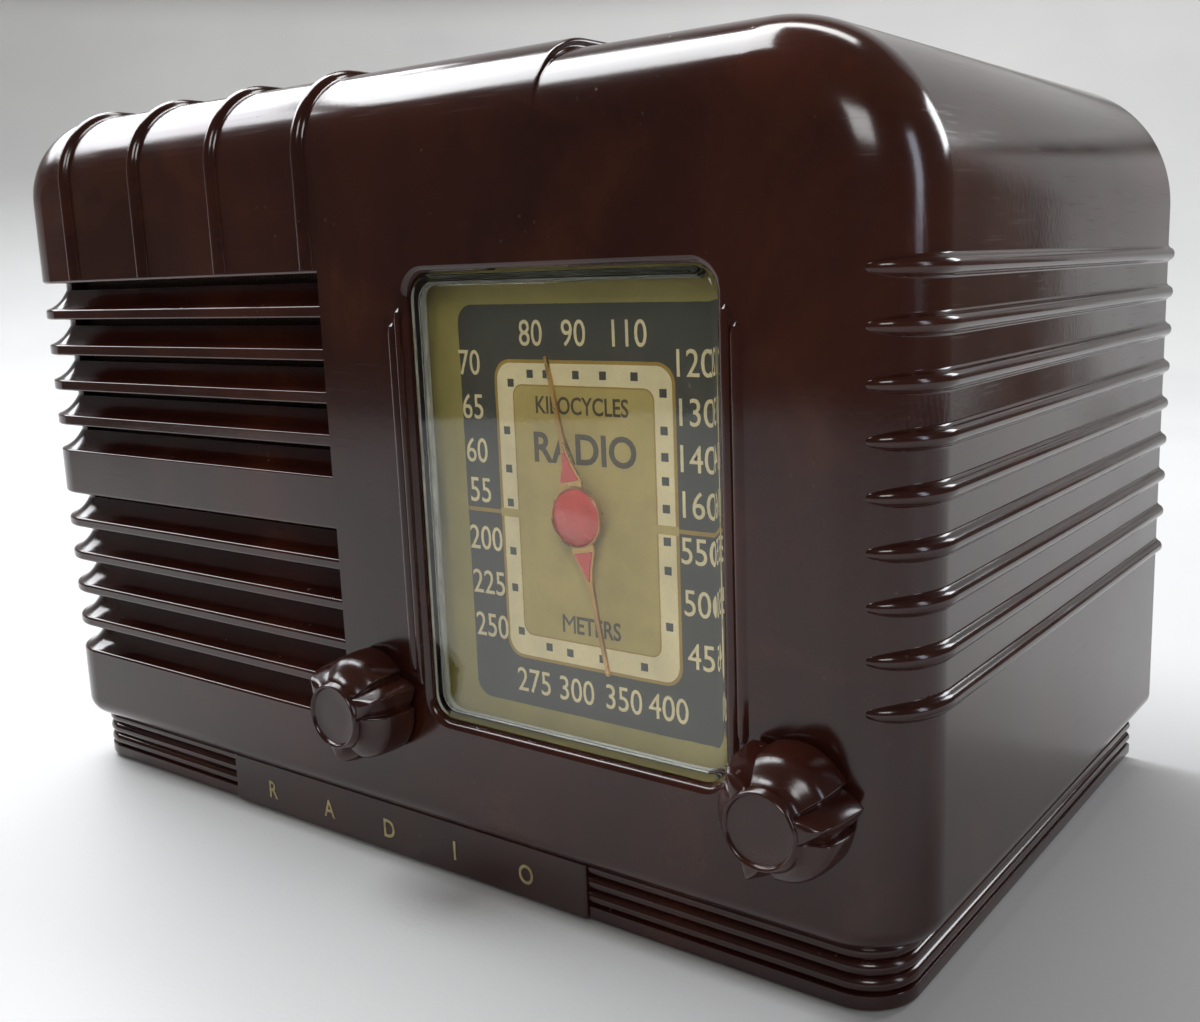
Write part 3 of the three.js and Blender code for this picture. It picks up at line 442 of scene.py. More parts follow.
def merge_close(bm):
    bmesh.ops.remove_doubles(bm, verts=bm.verts, dist=MERGE)
    bmesh.ops.dissolve_degenerate(bm, edges=bm.edges, dist=MERGE)


def solid_from(rings):
    bm = bmesh.new()
    loft(bm, rings)
    merge_close(bm)
    return mesh_from(bm, "tool")


def box_mesh(x0, x1, y0, y1, z0, z1):
    return solid_from([[(x0, y0, z), (x1, y0, z), (x1, y1, z), (x0, y1, z)] for z in (z0, z1)])


class Solid:
    """A mesh that others are joined to or cut from."""

    def __init__(self, name, mesh):
        self.piece = new_object(name, mesh)

    def change(self, operation, *meshes):
        for mesh in meshes:
            tool = new_object("tool", mesh)
            modifier = self.piece.modifiers.new("bool", "BOOLEAN")
            modifier.operation, modifier.object, modifier.solver = operation, tool, "MANIFOLD"
            apply(self.piece)
            bpy.data.objects.remove(tool)

    def join(self, *meshes):
        self.change("UNION", *meshes)

    def cut(self, *meshes):
        self.change("DIFFERENCE", *meshes)

    def finish(self, material, angle=32.0):
        shade(self.piece.data, angle)
        face_weighted(self.piece)
        self.piece.data.materials.clear()
        self.piece.data.materials.append(material)
        return self.piece


def arc(cx, cy, radius, start, end, steps):
    """Points round an arc, angles in degrees, both ends included."""
    angles = [radians(start + (end - start) * i / steps) for i in range(steps + 1)]
    return [(cx + radius * cos(a), cy + radius * sin(a)) for a in angles]


def rounded_rect(x0, y0, x1, y1, radius, steps=10):
    r = radius
    return (arc(x0 + r, y0 + r, r, 180, 270, steps) + arc(x1 - r, y0 + r, r, 270, 360, steps)
            + arc(x1 - r, y1 - r, r, 0, 90, steps) + arc(x0 + r, y1 - r, r, 90, 180, steps))


def mirrored(half, middle=()):
    return half + list(middle) + [(-x, z) for x, z in reversed(half)]


def standing(outline, y):
    return [(x, y, z) for x, z in outline]


def quarter(steps, first=0):
    return [radians(90 * i / steps) for i in range(first, steps + 1)]


def turned(profile, x, z, steps=64, name="turned"):
    """A profile of (radius, y) turned round an axis along Y; it runs from tip to tip or closes on itself."""
    bm = bmesh.new()
    closed = profile[0] == profile[-1]
    rows = []
    for r, y in profile[:-1] if closed else profile:
        angles = [2 * pi * i / steps for i in range(steps if r else 1)]
        rows.append(row(bm, [(x + r * cos(a), y, z + r * sin(a)) for a in angles]))
    for a, b in list(zip(rows, rows[1:])) + ([(rows[-1], rows[0])] if closed else []):
        bridge(bm, a, b)
    return mesh_from(bm, name)


def cylinder(axis, a, b, radius, low, high, steps=32):
    """A round bar along Y, centred on (x, z), or along Z, centred on (x, y)."""
    ring = arc(a, b, radius, 0, 360, steps)[:-1]
    if axis == "Y":
        return solid_from([standing(ring, y) for y in (low, high)])
    return solid_from([[(x, y, z) for x, y in ring] for z in (low, high)])


# ---------------- cabinet


def plan_ring(inset, z, back=BACK):
    """One level of the cabinet's plan, its two front corners rounded."""
    r = FRONT_RADIUS - inset
    left, right, front = LEFT + inset, RIGHT - inset, FRONT + inset
    points = [(left, back)]
    points += arc(left + r, front + r, r, 180, 270, FILLET_STEPS)
    points += arc(right - r, front + r, r, 270, 360, FILLET_STEPS)
    points.append((right, back))
    return [(x, y, z) for x, y in points]


def upper_outline(inset):
    """The cabinet seen from the front above the seam: x, z, the normal's x and z, and the fillet's radius."""
    left, right = LEFT + inset, RIGHT - inset
    top_left, top_right = TOP_LEFT - inset, TOP_RIGHT - inset
    radius = FRONT_RADIUS - inset
    out = [(left, SEAM_Z, -1, 0, radius)]
    r, roof, steps = CORNER_LEFT - inset, top_left - FACE_TOP, 24
    for i in range(steps + 1):
        a = radians(180 - 90 * i / steps)
        t = i / steps
        blend = t * t * (3 - 2 * t)
        out.append((left + r + r * cos(a), top_left - r + r * sin(a), cos(a), sin(a),
                    radius + (roof - radius) * blend))
    soft = 0.8
    step = (arc(STEP_X - soft, top_left - soft, soft, 90, 0, 6)
            + arc(STEP_X + soft, top_right + soft, soft, 180, 270, 6))
    out += [(x, z, 0, 1, z - FACE_TOP) for x, z in step]
    r, steps = CORNER_RIGHT - inset, 32
    for i in range(steps + 1):
        a = radians(90 - 90 * i / steps)
        out.append((right - r + r * cos(a), top_right - r + r * sin(a), cos(a), sin(a),
                    radius))
    out.append((right, SEAM_Z, 1, 0, radius))
    return out


def shell_mesh(inset, low_rings, back):
    """The cabinet's outer form, or the room inside it, closed at the back."""
    bm = bmesh.new()
    front = FRONT + inset
    low = [row(bm, ring) for ring in low_rings + [plan_ring(inset, SEAM_Z, back)]]
    for a, b in zip(low, low[1:]):
        bridge(bm, a, b)
    bm.faces.new(list(reversed(low[0])))
    curves = []
    for x, z, nx, nz, r in upper_outline(inset):
        curve = []
        for k in range(FILLET_STEPS + 1):
            a = radians(90 - 90 * k / FILLET_STEPS)
            off = r * (1 - cos(a))
            curve.append((x - nx * off, front + r * (1 - sin(a)), z - nz * off))
        curve.append((x, back, z))
        curves.append(row(bm, curve))
    for a, b in zip(curves, curves[1:]):
        for k in range(len(a) - 1):
            bm.faces.new((a[k], a[k + 1], b[k + 1], b[k]))
    merge_close(bm)
    bmesh.ops.holes_fill(bm, edges=[e for e in bm.edges if e.is_boundary], sides=0)
    return mesh_from(bm, "shell")


# Sections as (across, height) from one foot: half round, with a cove at each foot, the same both sides.
RIB_SECTION = mirrored([(-2.3, -0.9), (-2.3, -0.10), (-1.9, 0.10), (-1.62, 0.32), (-1.42, 0.62), (-1.2, 0.95),
                        (-0.85, 1.24), (-0.4, 1.41)], [(0, 1.46)])
BEAD_SECTION = mirrored([(-1.35, -0.8), (-1.35, -0.08), (-1.08, 0.16), (-0.95, 0.42), (-0.72, 0.72),
                         (-0.38, 0.92)], [(0, 0.98)])


def sweep(path, section):
    """Runs a section along stations (point, across, outward, width scale, height scale, sink)."""
    rings = []
    for point, across, outward, wide, high, sink in path:
        ring = []
        for a, h in section:
            height = h * high if h > 0 else h
            ring.append(tuple(point + across * (a * wide) + outward * (height - sink)))
        rings.append(ring)
    return solid_from(rings)


def roof_rib(x):
    across = Vector((1, 0, 0))
    centre = Vector((x, FRONT + ROOF_RADIUS, FACE_TOP))
    path = [(Vector((x, FRONT, GRILLE_TOP - 0.2)), across, Vector((0, -1, 0)), 1, 1, 0)]
    for a in quarter(16):
        outward = Vector((0, -cos(a), sin(a)))
        path.append((centre + outward * ROOF_RADIUS, across, outward, 1, 1, 0))
    path.append((Vector((x, BACK, TOP_LEFT)), across, Vector((0, 0, 1)), 1, 1, 0))
    return sweep(path, RIB_SECTION)


def flank_rib(z):
    """Runs along the right side and narrows to a point round the front corner."""
    steps, tip_angle, full_width = 26, 66, 0.35
    across = Vector((0, 0, 1))
    centre = Vector((RIGHT - FRONT_RADIUS, FRONT + FRONT_RADIUS, z))
    path = [(Vector((RIGHT, BACK, z)), across, Vector((1, 0, 0)), 1, 1, 0)]
    for i in range(steps + 1):
        t = i / steps
        a = radians(tip_angle * t)
        outward = Vector((cos(a), -sin(a), 0))
        taper = max(0.0, (t - full_width) / 0.65) ** 2.2
        narrow = sqrt(max(1 - taper, 0.0))
        path.append((centre + outward * FRONT_RADIUS, across, outward, 0.18 + 0.82 * narrow, narrow,
                     0.25 * t * t))
    return sweep(path, RIB_SECTION)


def window_bead(x, half):
    steps, end_length = 24, 2.2
    path = []
    for i in range(steps + 1):
        t = -1 + 2 * i / steps
        z = WIN_Z + half * copysign(1 - (1 - abs(t)) ** 1.6, t)
        end = (half - abs(z - WIN_Z)) / end_length
        swell = sqrt(max(1 - max(0.0, 1 - end) ** 2, 0.0))
        path.append((Vector((x, FRONT, z)), Vector((1, 0, 0)), Vector((0, -1, 0)), 0.12 + 0.88 * swell, swell,
                     0.02))
    return sweep(path, BEAD_SECTION)


def wrapped(section):
    """A section of (depth inwards, z) run from the left side round the corner to the grille's right end."""
    stations = [((LEFT, WRAP_BACK), (-1, 0))]
    for i in range(FILLET_STEPS + 1):
        a = radians(180 + 90 * i / FILLET_STEPS)
        stations.append(((LEFT + FRONT_RADIUS * (1 + cos(a)), FRONT + FRONT_RADIUS * (1 + sin(a))),
                         (cos(a), sin(a))))
    stations.append(((GRILLE_RIGHT, FRONT), (0, -1)))
    return solid_from([[(x - nx * d, y - ny * d, z) for d, z in section] for (x, y), (nx, ny) in stations])


def louvre_gap(low, high, nose):
    """A groove round the corner, its floor sweeping up inwards, with rounded lips."""
    outside, skin = -3, -0.02
    section = [(outside, low - nose), (skin, low - nose)]
    section += [(nose * (1 - cos(a)), low - nose + nose * sin(a)) for a in quarter(6, 1)]
    for i in range(1, 11):
        t = i / 10
        section.append((nose + (GROOVE - nose) * t, low + GROOVE_RISE * (0.45 * t + 0.55 * t ** 2.6)))
    section.append((GROOVE, high))
    section += [(nose * (1 - cos(a)), high + nose - nose * sin(a)) for a in reversed(quarter(6, 1))]
    section += [(skin, high + nose), (outside, high + nose)]
    return wrapped(section)


def louvre_gaps():
    """Two banks of five grooves, with a slot through the straight front behind each one."""
    grooves, slots = [], []
    for k in list(range(1, 6)) + list(range(7, 12)):
        if k == 1:
            nose = 0.8
        else:
            nose = 0.5 if k < 6 else 0.85
        low, high = GRILLE_TOP - k * PITCH + SLAT_FACE, GRILLE_TOP - (k - 1) * PITCH
        grooves.append(louvre_gap(low, high, nose))
        slots.append(box_mesh(LEFT + FRONT_RADIUS, GRILLE_RIGHT, FRONT + GROOVE - 1,
                              FRONT + GRILLE_DEPTH + 1, low + SLOT_RISE, high))
    return grooves + slots


def window_cutter():
    lip, through = 1.5, 12
    depths = [(-3, lip)]
    for degrees in range(8, 91, 12):
        a = radians(degrees)
        depths.append((lip * (1 - cos(a)), lip * (1 - sin(a))))
    depths += [(lip + 0.01, 0), (through, 0)]
    rings = []
    for depth, extra in depths:
        w, h = WIN_W, WIN_H
        outline = rounded_rect(WIN_X - w - extra, WIN_Z - h - extra, WIN_X + w + extra, WIN_Z + h + extra,
                               WIN_R + extra, 12)
        rings.append(standing(outline, FRONT + depth))
    return solid_from(rings)


def plinth_mesh():
    inset, bead, bead_pitch, bead_half = 4.5, 1.55, 3.14, 1.57
    profile = [(inset + 0.5, 1.0), (inset + 0.12, 1.12), (inset, 1.5), (inset, 3.45), (inset + 0.14, 3.72),
               (inset + 0.5, 3.86)]
    for i in range(3):
        middle = 5.5 + bead_pitch * i
        for j in range(9):
            a = radians(-80 + 160 * j / 8)
            profile.append((inset + bead * (1 - cos(a)), middle + bead_half * sin(a)))
    profile += [(inset + bead, 13.45), (inset + bead, 14)]
    return solid_from([plan_ring(d, z) for d, z in profile])


def nameplate_mesh():
    x0, x1, z0, z1 = -58.5, 55.0, 1.0, 13.2
    y = FRONT + 3.7
    rings = []
    for depth, inset in [(0, 0.6), (0.08, 0.32), (0.28, 0.1), (0.6, 0), (8.3, 0)]:
        outline = rounded_rect(x0 + inset, z0 + inset, x1 - inset, z1 - inset, 0.5, 3)
        rings.append(standing(outline, y + depth))
    return solid_from(rings)


def interior():
    """The room inside the walls, less the thicker wall behind the louvres."""
    past = 20
    room = Solid("room", shell_mesh(WALL, [plan_ring(WALL, FLOOR_TOP, BACK + past)], BACK + past))
    block = Solid("frame_block", box_mesh(LEFT - 5, GRILLE_RIGHT + 3, FRONT - 5, WRAP_BACK + 3,
                                          GRILLE_LOW - 3, GRILLE_TOP + 3))
    block.cut(box_mesh(LEFT + GRILLE_DEPTH, 60, FRONT + GRILLE_DEPTH, 40, 0, 200))
    room.cut(block.piece.data)
    mesh = room.piece.data
    for extra in (room, block):
        bpy.data.objects.remove(extra.piece)
    return mesh


def make_cabinet():
    roll = []
    for degrees in range(0, 91, 9):
        a = radians(degrees)
        roll.append(plan_ring(SKIRT_ROLL * (1 - sin(a)), SKIRT_LOW + SKIRT_ROLL * (1 - cos(a))))
    cabinet = Solid("cabinet_shell", shell_mesh(0, roll, BACK))
    cabinet.join(plinth_mesh(), nameplate_mesh())
    cabinet.join(*[roof_rib(x) for x in ROOF_RIBS])
    cabinet.join(*[flank_rib(z) for z in FLANK_RIBS])
    for side in (-1, 1):
        cabinet.join(*[window_bead(WIN_X + side * out, half) for out, half in WINDOW_BEADS])
    cabinet.cut(interior())
    cabinet.cut(*louvre_gaps())
    cabinet.cut(window_cutter())
    top = WIN_Z + WIN_H
    cabinet.cut(box_mesh(WIN_X - 15, WIN_X + 5, FRONT + 0.6, FRONT + 12, top - 4, top + 1.2))
    edge, block = 9, 26
    cabinet.cut(box_mesh(LEFT + edge, RIGHT - edge, FRONT + block, BACK - block, -4, FLOOR_LOW))
    cabinet.cut(box_mesh(LEFT + block, RIGHT - block, FRONT + edge + 3, BACK - edge, -4, FLOOR_LOW))
    cabinet.join(*[cylinder("Y", x, z, BOSS_RADIUS, 70, REAR_Y - 0.3) for x, z in SCREWS])
    cabinet.cut(*[cylinder("Y", x, z, SCREW_HOLE, 68, 100, 16) for x, z in SCREWS])
    cabinet.cut(*[cylinder("Z", x, 58, 2.4, 0, 20, 16) for x in (-92, 92)])
    cabinet.cut(*[cylinder("Y", x, KNOB_Z, 4.5, FRONT - 5, FRONT + 8) for x in (VOLUME_X, TUNING_X)])
    piece = cabinet.finish(BAKELITE)
    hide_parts("cabinet")
    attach(piece, "radio")


# ---------------- knobs

# Stations along a knob, front to back: depth, and the radius of a panel, of a groove and of a wing's ridge.
KNOB_STATIONS = [
    (0.95, 7.05, 7.0, 7.05), (1.15, 7.1, 6.95, 8.3), (1.45, 7.15, 6.95, 9.5), (1.85, 7.25, 7.0, 10.3),
    (2.4, 7.5, 7.15, 10.85), (3.0, 7.95, 7.45, 11.2), (3.6, 8.65, 7.9, 11.5), (4.3, 9.55, 8.5, 11.8),
    (5.0, 10.3, 9.1, 12.0), (5.8, 10.8, 9.6, 12.2), (6.8, 11.1, 9.9, 12.4), (8.6, 11.3, 10.1, 12.65),
    (10.8, 11.4, 10.2, 12.85), (12.6, 11.4, 10.25, 12.95), (12.95, 11.3, 10.2, 12.9),
    (13.2, 11.05, 10.0, 12.6)]
# The ringed face, from the middle out, and the hollow at the back: radius, depth.
KNOB_FACE = [(0, 0.62), (3, 0.66), (5.6, 0.74), (6.0, 0.62), (6.18, 0.3), (6.36, 0.06), (6.58, 0.0),
             (6.8, 0.14), (6.95, 0.5)]
KNOB_HOLLOW = [(9.4, 13.2), (9.0, 11.0), (3.4, 11.0), (3.4, 3.2), (0, 3.2)]
# Degrees either side of a wing's ridge where the form has its points.
WING_ANGLES = [0, 0.4, 0.9, 1.6, 3, 5, 7, 9, 11, 13, 15, 16.5, 17.5, 18.2, 18.8, 19.3, 19.8, 20.4, 21.1, 21.8,
               22.6, 23.6, 25, 27, 30, 34, 38, 43, 48, 54]
FACET_END, GROOVE_START, GROOVE_END, PANEL_START, PANEL_MIDDLE = 18.2, 18.8, 19.8, 22.6, 60


def knob_radius(degrees, panel, groove, ridge):
    """The radius at an angle from the nearest wing: ridge, facet, narrow groove, then a bulging panel."""
    u, blunt, bulge = abs(degrees), 0.5, 0.35
    if u <= GROOVE_START:
        across = min((sqrt(u * u + blunt) - sqrt(blunt)) / FACET_END, 1)
        return groove + (ridge - groove) * (1 - across) ** 1.12
    if u <= GROOVE_END:
        return groove
    if u <= PANEL_START:
        t = (u - GROOVE_END) / (PANEL_START - GROOVE_END)
        return groove + (panel - groove) * sin(pi / 2 * t)
    return panel + bulge * sin(pi * (u - PANEL_START) / (2 * (PANEL_MIDDLE - PANEL_START)))


def make_knob(name, x, lean, body, node):
    """Three wings round a waisted grip, the first of them lean degrees clockwise from the top."""
    angles = []
    for wing in range(3):
        ridge = 120 * wing + lean
        angles += [(ridge - a, -a) for a in reversed(WING_ANGLES[1:])]
        angles += [(ridge + a, a) for a in WING_ANGLES]
        angles.append((ridge + PANEL_MIDDLE, PANEL_MIDDLE))
    bm = bmesh.new()

    def level(depth, radii):
        points = []
        for radius, (degrees, _) in zip(radii, angles):
            a = radians(degrees)
            points.append((x + radius * sin(a), KNOB_FRONT + depth, KNOB_Z + radius * cos(a)))
        return row(bm, points)

    def round_level(radius, depth):
        return level(depth, [radius] * (len(angles) if radius else 1))

    rows = [round_level(*point) for point in KNOB_FACE]
    rows += [level(depth, [knob_radius(u, *radii) for _, u in angles]) for depth, *radii in KNOB_STATIONS]
    rows += [round_level(*point) for point in KNOB_HOLLOW]
    for a, b in zip(rows, rows[1:]):
        bridge(bm, a, b)
    piece = to_object(name, bm, 42, KNOB_LOOK)
    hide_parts(node)
    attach(piece, body)


# ---------------- glass, dial and pointer


def window_ring(extra, y, scale=1.0, right=0.0):
    """The window's outline grown by extra all round, and by right more along its right side."""
    w, h = WIN_W + extra, WIN_H + extra
    outline = rounded_rect(-w, -h, w + right, h, max(WIN_R + min(extra, 0) * 0.55, 1.2))
    return [(WIN_X + x * scale, y, WIN_Z + z * scale) for x, z in outline]


def make_lens():
    """A hollow moulding: a thin crowned front and deep sides, thinner on the right, out to a flange."""
    crown, rounding, fillet = 0.5, 1.1, 1.5
    face, wall, room, right_wall, right_room = -1.5, -1.7, -3.2, 0.7, 1.7
    front, inside = FRONT + 0.75, FRONT + 2.35
    rings = []
    for i in range(12):
        t = 0.06 + 0.94 * i / 11
        rings.append(window_ring(face, front - crown * (1 - t ** 4), t))
    for a in quarter(8, 1):
        rings.append(window_ring(face + rounding * sin(a), front + rounding * (1 - cos(a))))
    for extra, depth in ((-0.4, 3.75), (0.2, 3.8), (1.9, 3.8), (2, 3.9), (2, 5.2), (1.9, 5.3)):
        rings.append(window_ring(extra, FRONT + depth))
    rings += [window_ring(wall + 0.1, FRONT + 5.3, right=right_wall),
              window_ring(wall, FRONT + 5.2, right=right_wall)]
    for a in quarter(8):
        turn = 1 - cos(a)
        rings.append(window_ring(wall - fillet * turn, inside + fillet * (1 - sin(a)),
                                 right=right_wall + (right_room - right_wall) * turn))
    for t in (0.99, 0.97, 0.93, 0.86, 0.76, 0.64, 0.5, 0.36, 0.2, 0.06):
        rings.append(window_ring(room, inside - crown * (1 - t ** 4), t, right_room))
    bm = bmesh.new()
    loft(bm, rings)
    piece = to_object("lens_glass", bm, 50, glass_material("lens_glass", (0.985, 1.0, 0.985)),
                      frosted_material("lens_edge"))
    for face in piece.data.polygons:
        face.material_index = int(abs(face.normal.y) < 0.25 and face.center.x / MM < WIN_X + 30)
    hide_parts("dial_lens")
    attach(piece, "radio")


def plate(bm, outline, front, back, index, soften=0.0):
    """A thin flat plate of a given outline (x, z), with its front edge softened."""
    cx = sum(x for x, _ in outline) / len(outline)
    cz = sum(z for _, z in outline) / len(outline)

    def ring(y, inset):
        points = []
        for x, z in outline:
            length = hypot(x - cx, z - cz) or 1
            k = 1 - inset / length
            points.append((cx + (x - cx) * k, y, cz + (z - cz) * k))
        return points

    before = len(bm.faces)
    if soften:
        loft(bm, [ring(back, 0), ring(front + soften, 0), ring(front, soften)])
    else:
        loft(bm, [ring(back, 0), ring(front, 0)])
    give_finish(bm, before, index)


def text_into(bm, words, x, z, height, front, depth, index, weight=0.0, width=None):
    """Raised lettering centred on (x, z); narrow letters unless the whole width is given."""
    data = bpy.data.curves.new("letters", "FONT")
    data.body = words
    data.size = 1.0
    data.extrude = 0.5
    data.offset = weight
    data.resolution_u = 4
    piece = new_object("letters", data)
    bpy.context.view_layer.update()
    mesh = bpy.data.meshes.new_from_object(piece.evaluated_get(bpy.context.evaluated_depsgraph_get()))
    bpy.data.objects.remove(piece)
    xs = [v.co.x for v in mesh.vertices]
    ys = [v.co.y for v in mesh.vertices]
    scale = height / (max(ys) - min(ys))
    across = width / (max(xs) - min(xs)) if width else scale * NARROW
    mid_x, mid_y = (max(xs) + min(xs)) / 2, (max(ys) + min(ys)) / 2
    for v in mesh.vertices:
        y = front + (0.5 - v.co.z) * depth
        v.co = Vector(((x + (v.co.x - mid_x) * across) * MM, y * MM, (z + (v.co.y - mid_y) * scale) * MM))
    before = len(bm.faces)
    bm.from_mesh(mesh)
    give_finish(bm, before, index)
    bpy.data.meshes.remove(mesh)


NARROW = 0.86
PRINT_COLORS = [("dark", (0.058, 0.060, 0.044)), ("gold", (0.40, 0.25, 0.040)), ("cream", (0.84, 0.71, 0.40)),
                ("olive", (0.50, 0.385, 0.115)), ("ink", (0.085, 0.068, 0.032))]
# The scale's numbers and its square marks, from the hub.
NUMERALS = [
    ("70", -28.6, 29.2), ("65", -28.3, 20.2), ("60", -27.8, 11.2), ("55", -27.4, 2.9), ("200", -26.6, -7.2),
    ("225", -26.5, -16.7), ("250", -26.2, -26), ("275", -15.3, -36.5), ("300", -4, -36.5),
    ("350", 7.8, -36.3), ("400", 18.3, -36.2), ("450", 27.7, -24.8), ("500", 27.1, -14.6),
    ("550", 26.7, -4.7), ("160", 26.8, 4), ("140", 26.6, 12.5), ("130", 26.6, 21), ("120", 26.3, 29.9),
    ("110", 12, 35.2), ("90", -1.2, 35.2), ("80", -11.9, 35.2)]
SCALE_MARKS = [(x, 27.2) for x in (-12.5, -8.4, -1.0, 5.5, 12.8)]
SCALE_MARKS.append((-17.6, 25.3))
SCALE_MARKS += [(19.2, z) for z in (24.3, 17.4, 12.5, 8.0, 2.8, -3.4, -9.0, -19.9)]
SCALE_MARKS += [(13.0, -28.8), (2.9, -28.8), (-5.3, -28.8), (-10.7, -28.4), (-18.0, -26.0)]
SCALE_MARKS += [(-19.2, z) for z in (-16.9, -9.2, 15.7, 7.9, 0.9)]
# The words on the card: text, place from the hub, height, weight and width.
CARD_WORDS = [
    ("KILOCYCLES", 0, 21.2, 3.5, 0.014, 22.5), ("M", -5.2, -22.7, 3.7, 0.0, 3.3),
    ("ETERS", 2.25, -22.7, 3.7, 0.02, 10.9), ("RADIO", 0.3, 12.8, 6.2, 0.022, 25)]


def make_dial_print():
    """The inks on the card, each layer a hair in front of the last."""
    bm = bmesh.new()
    dark, gold, cream, olive, ink = range(5)
    under, square, ink_thick = CARD_Y + 0.1, 0.8, 0.1

    def layer(index, outline, color):
        plate(bm, outline, CARD_Y - 0.02 * index, under, color)

    layer(1, rounded_rect(HUB_X - 31.2, 41.9, HUB_X + 33.2, 124.6, 3.8, 8), dark)
    for index, half_x, low, high, radius, color in (
            (2, 21.9, 52.1, 113.8, 4.1, gold), (3, 21.2, 52.8, 113.1, 3.5, cream),
            (4, 17.2, 57.3, 108.9, 2.4, gold), (5, 16.9, 57.6, 108.6, 2.1, olive)):
        layer(index, rounded_rect(HUB_X - half_x, low, HUB_X + half_x, high, radius, 8), color)
    gap = HUB_Z - 1.2
    for index, half, x0, x1, color in (
            (6, 0.85, -21.9, -16.5, olive), (6, 0.85, 16.5, 21.9, olive), (3, 0.4, -31, -21.8, gold),
            (3, 0.4, 21.8, 33.2, gold)):
        layer(index, [(HUB_X + x0, gap - half), (HUB_X + x1, gap - half), (HUB_X + x1, gap + half),
                      (HUB_X + x0, gap + half)], color)
    for x, z in SCALE_MARKS:
        cx, cz, s = HUB_X + x, HUB_Z + z, square
        plate(bm, [(cx - s, cz - s), (cx + s, cz - s), (cx + s, cz + s), (cx - s, cz + s)],
              CARD_Y - 0.1, CARD_Y, dark)
    for words, x, z in NUMERALS:
        text_into(bm, words, HUB_X + x, HUB_Z + z, 5.1, CARD_Y - 0.08, ink_thick, cream, 0.002)
    for words, x, z, height, weight, width in CARD_WORDS:
        text_into(bm, words, HUB_X + x, HUB_Z + z, height, CARD_Y - 0.14, ink_thick, ink, weight, width)
    inks = [print_material("print_" + name, color) for name, color in PRINT_COLORS]
    piece = to_object("dial_print", bm, 30, *inks)
    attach(piece, "radio")


# Half of the pointer, pointing up from the hub, before it leans: its brass and the red dart on it.
POINTER_FRAME = mirrored([(2.6, 5), (2.9, 6.9), (2.6, 7.5), (1.3, 10.6), (0.75, 13.4), (0.46, 20),
                          (0.34, 31.6)])
POINTER_DART = mirrored([(2.2, 7.0), (2.15, 7.4), (0.95, 10.2), (0.2, 12.8)])


def leaned(points, sign):
    c, s = cos(POINTER_LEAN), sin(POINTER_LEAN)
    return [(HUB_X + x * sign * c - z * sign * s, HUB_Z + x * sign * s + z * sign * c) for x, z in points]


def make_pointer():
    """Two darts and a domed hub of red enamel in thin brass, with a needle each way."""
    y = CARD_Y - 2.9
    bm = bmesh.new()
    brass, red = 0, 1
    for sign in (1, -1):
        plate(bm, leaned(POINTER_FRAME, sign), y, y + 0.6, brass, 0.12)
        plate(bm, leaned(POINTER_DART, sign), y - 0.18, y + 0.3, red, 0.14)
    rim = [(6.1, 0.6), (6.1, -0.2), (6.02, -0.42), (5.85, -0.52), (5.68, -0.42), (5.6, -0.2), (5.5, 0.6),
           (6.1, 0.6)]
    dome = [(0, -1.3), (1.7, -1.24), (3.2, -1.06), (4.4, -0.76), (5.25, -0.38), (5.62, -0.05), (5.62, 0.5),
            (2.9, 0.6), (2.9, 4.0), (0, 4.0)]
    for profile, finish in ((rim, brass), (dome, red)):
        before = len(bm.faces)
        bm.from_mesh(turned([(r, y + depth) for r, depth in profile], HUB_X, HUB_Z, 56))
        give_finish(bm, before, finish)
    gilt = metal_material("pointer_brass", (0.46, 0.27, 0.085), (0.66, 0.43, 0.16), 0.28, 90,
                          stain=(0.16, 0.07, 0.03))
    enamel = plain_material("red_enamel", (0.50, 0.035, 0.022), (0.62, 0.060, 0.035), 0.2, 120, 0.00001)
    enamel.node_tree.nodes["Principled BSDF"].inputs["Coat Weight"].default_value = 0.4
    piece = to_object("pointer_arm", bm, 34, gilt, enamel)
    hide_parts("dial_pointer")
    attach(piece, "gang")


def make_nameplate_letters():
    bm = bmesh.new()
    for letter, x in zip("RADIO", (-43.5, -22.8, -2.2, 18.4, 39.0)):
        text_into(bm, letter, x, 6.6, 4.4, FRONT + 3.6, 0.3, 0, 0.012)
    gilt = metal_material("gilt", (0.36, 0.30, 0.15), (0.55, 0.46, 0.25), 0.42, 400, stain=(0.09, 0.07, 0.03))
    piece = to_object("plinth_letters", bm, 30, gilt)
    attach(piece, "radio")


# ---------------- cloth, back and fixings


def make_cloth():
    """One woven sheet, stretched behind the louvres and folded round the corner."""
    clear, fold, rows = 0.6, 1.2, 52
    x, y = LEFT + GRILLE_DEPTH + clear, FRONT + GRILLE_DEPTH + clear
    low, high = GRILLE_LOW - 1, GRILLE_TOP + 1
    end, right = WRAP_BACK + 2, GRILLE_RIGHT - 1
    path = [(x, end - (end - y - fold) * i / 20) for i in range(21)]
    for degrees in (22, 45, 67):
        a = radians(degrees)
        path.append((x + fold * (1 - cos(a)), y + fold * (1 - sin(a))))
    path += [(x + fold + (right - x - fold) * i / 60, y) for i in range(61)]
    bm = bmesh.new()
    grid = []
    for j in range(rows + 1):
        z = low + (high - low) * j / rows
        sag = 0.10 * sin(pi * j / rows)
        grid.append(row(bm, [(px, py + (sag if px > x + 2 else 0), z) for px, py in path]))
    for a, b in zip(grid, grid[1:]):
        bridge(bm, a, b, closed=False)
    piece = to_object("grille_weave", bm, 60, cloth_material())
    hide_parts("grille_cloth")
    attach(piece, "radio")


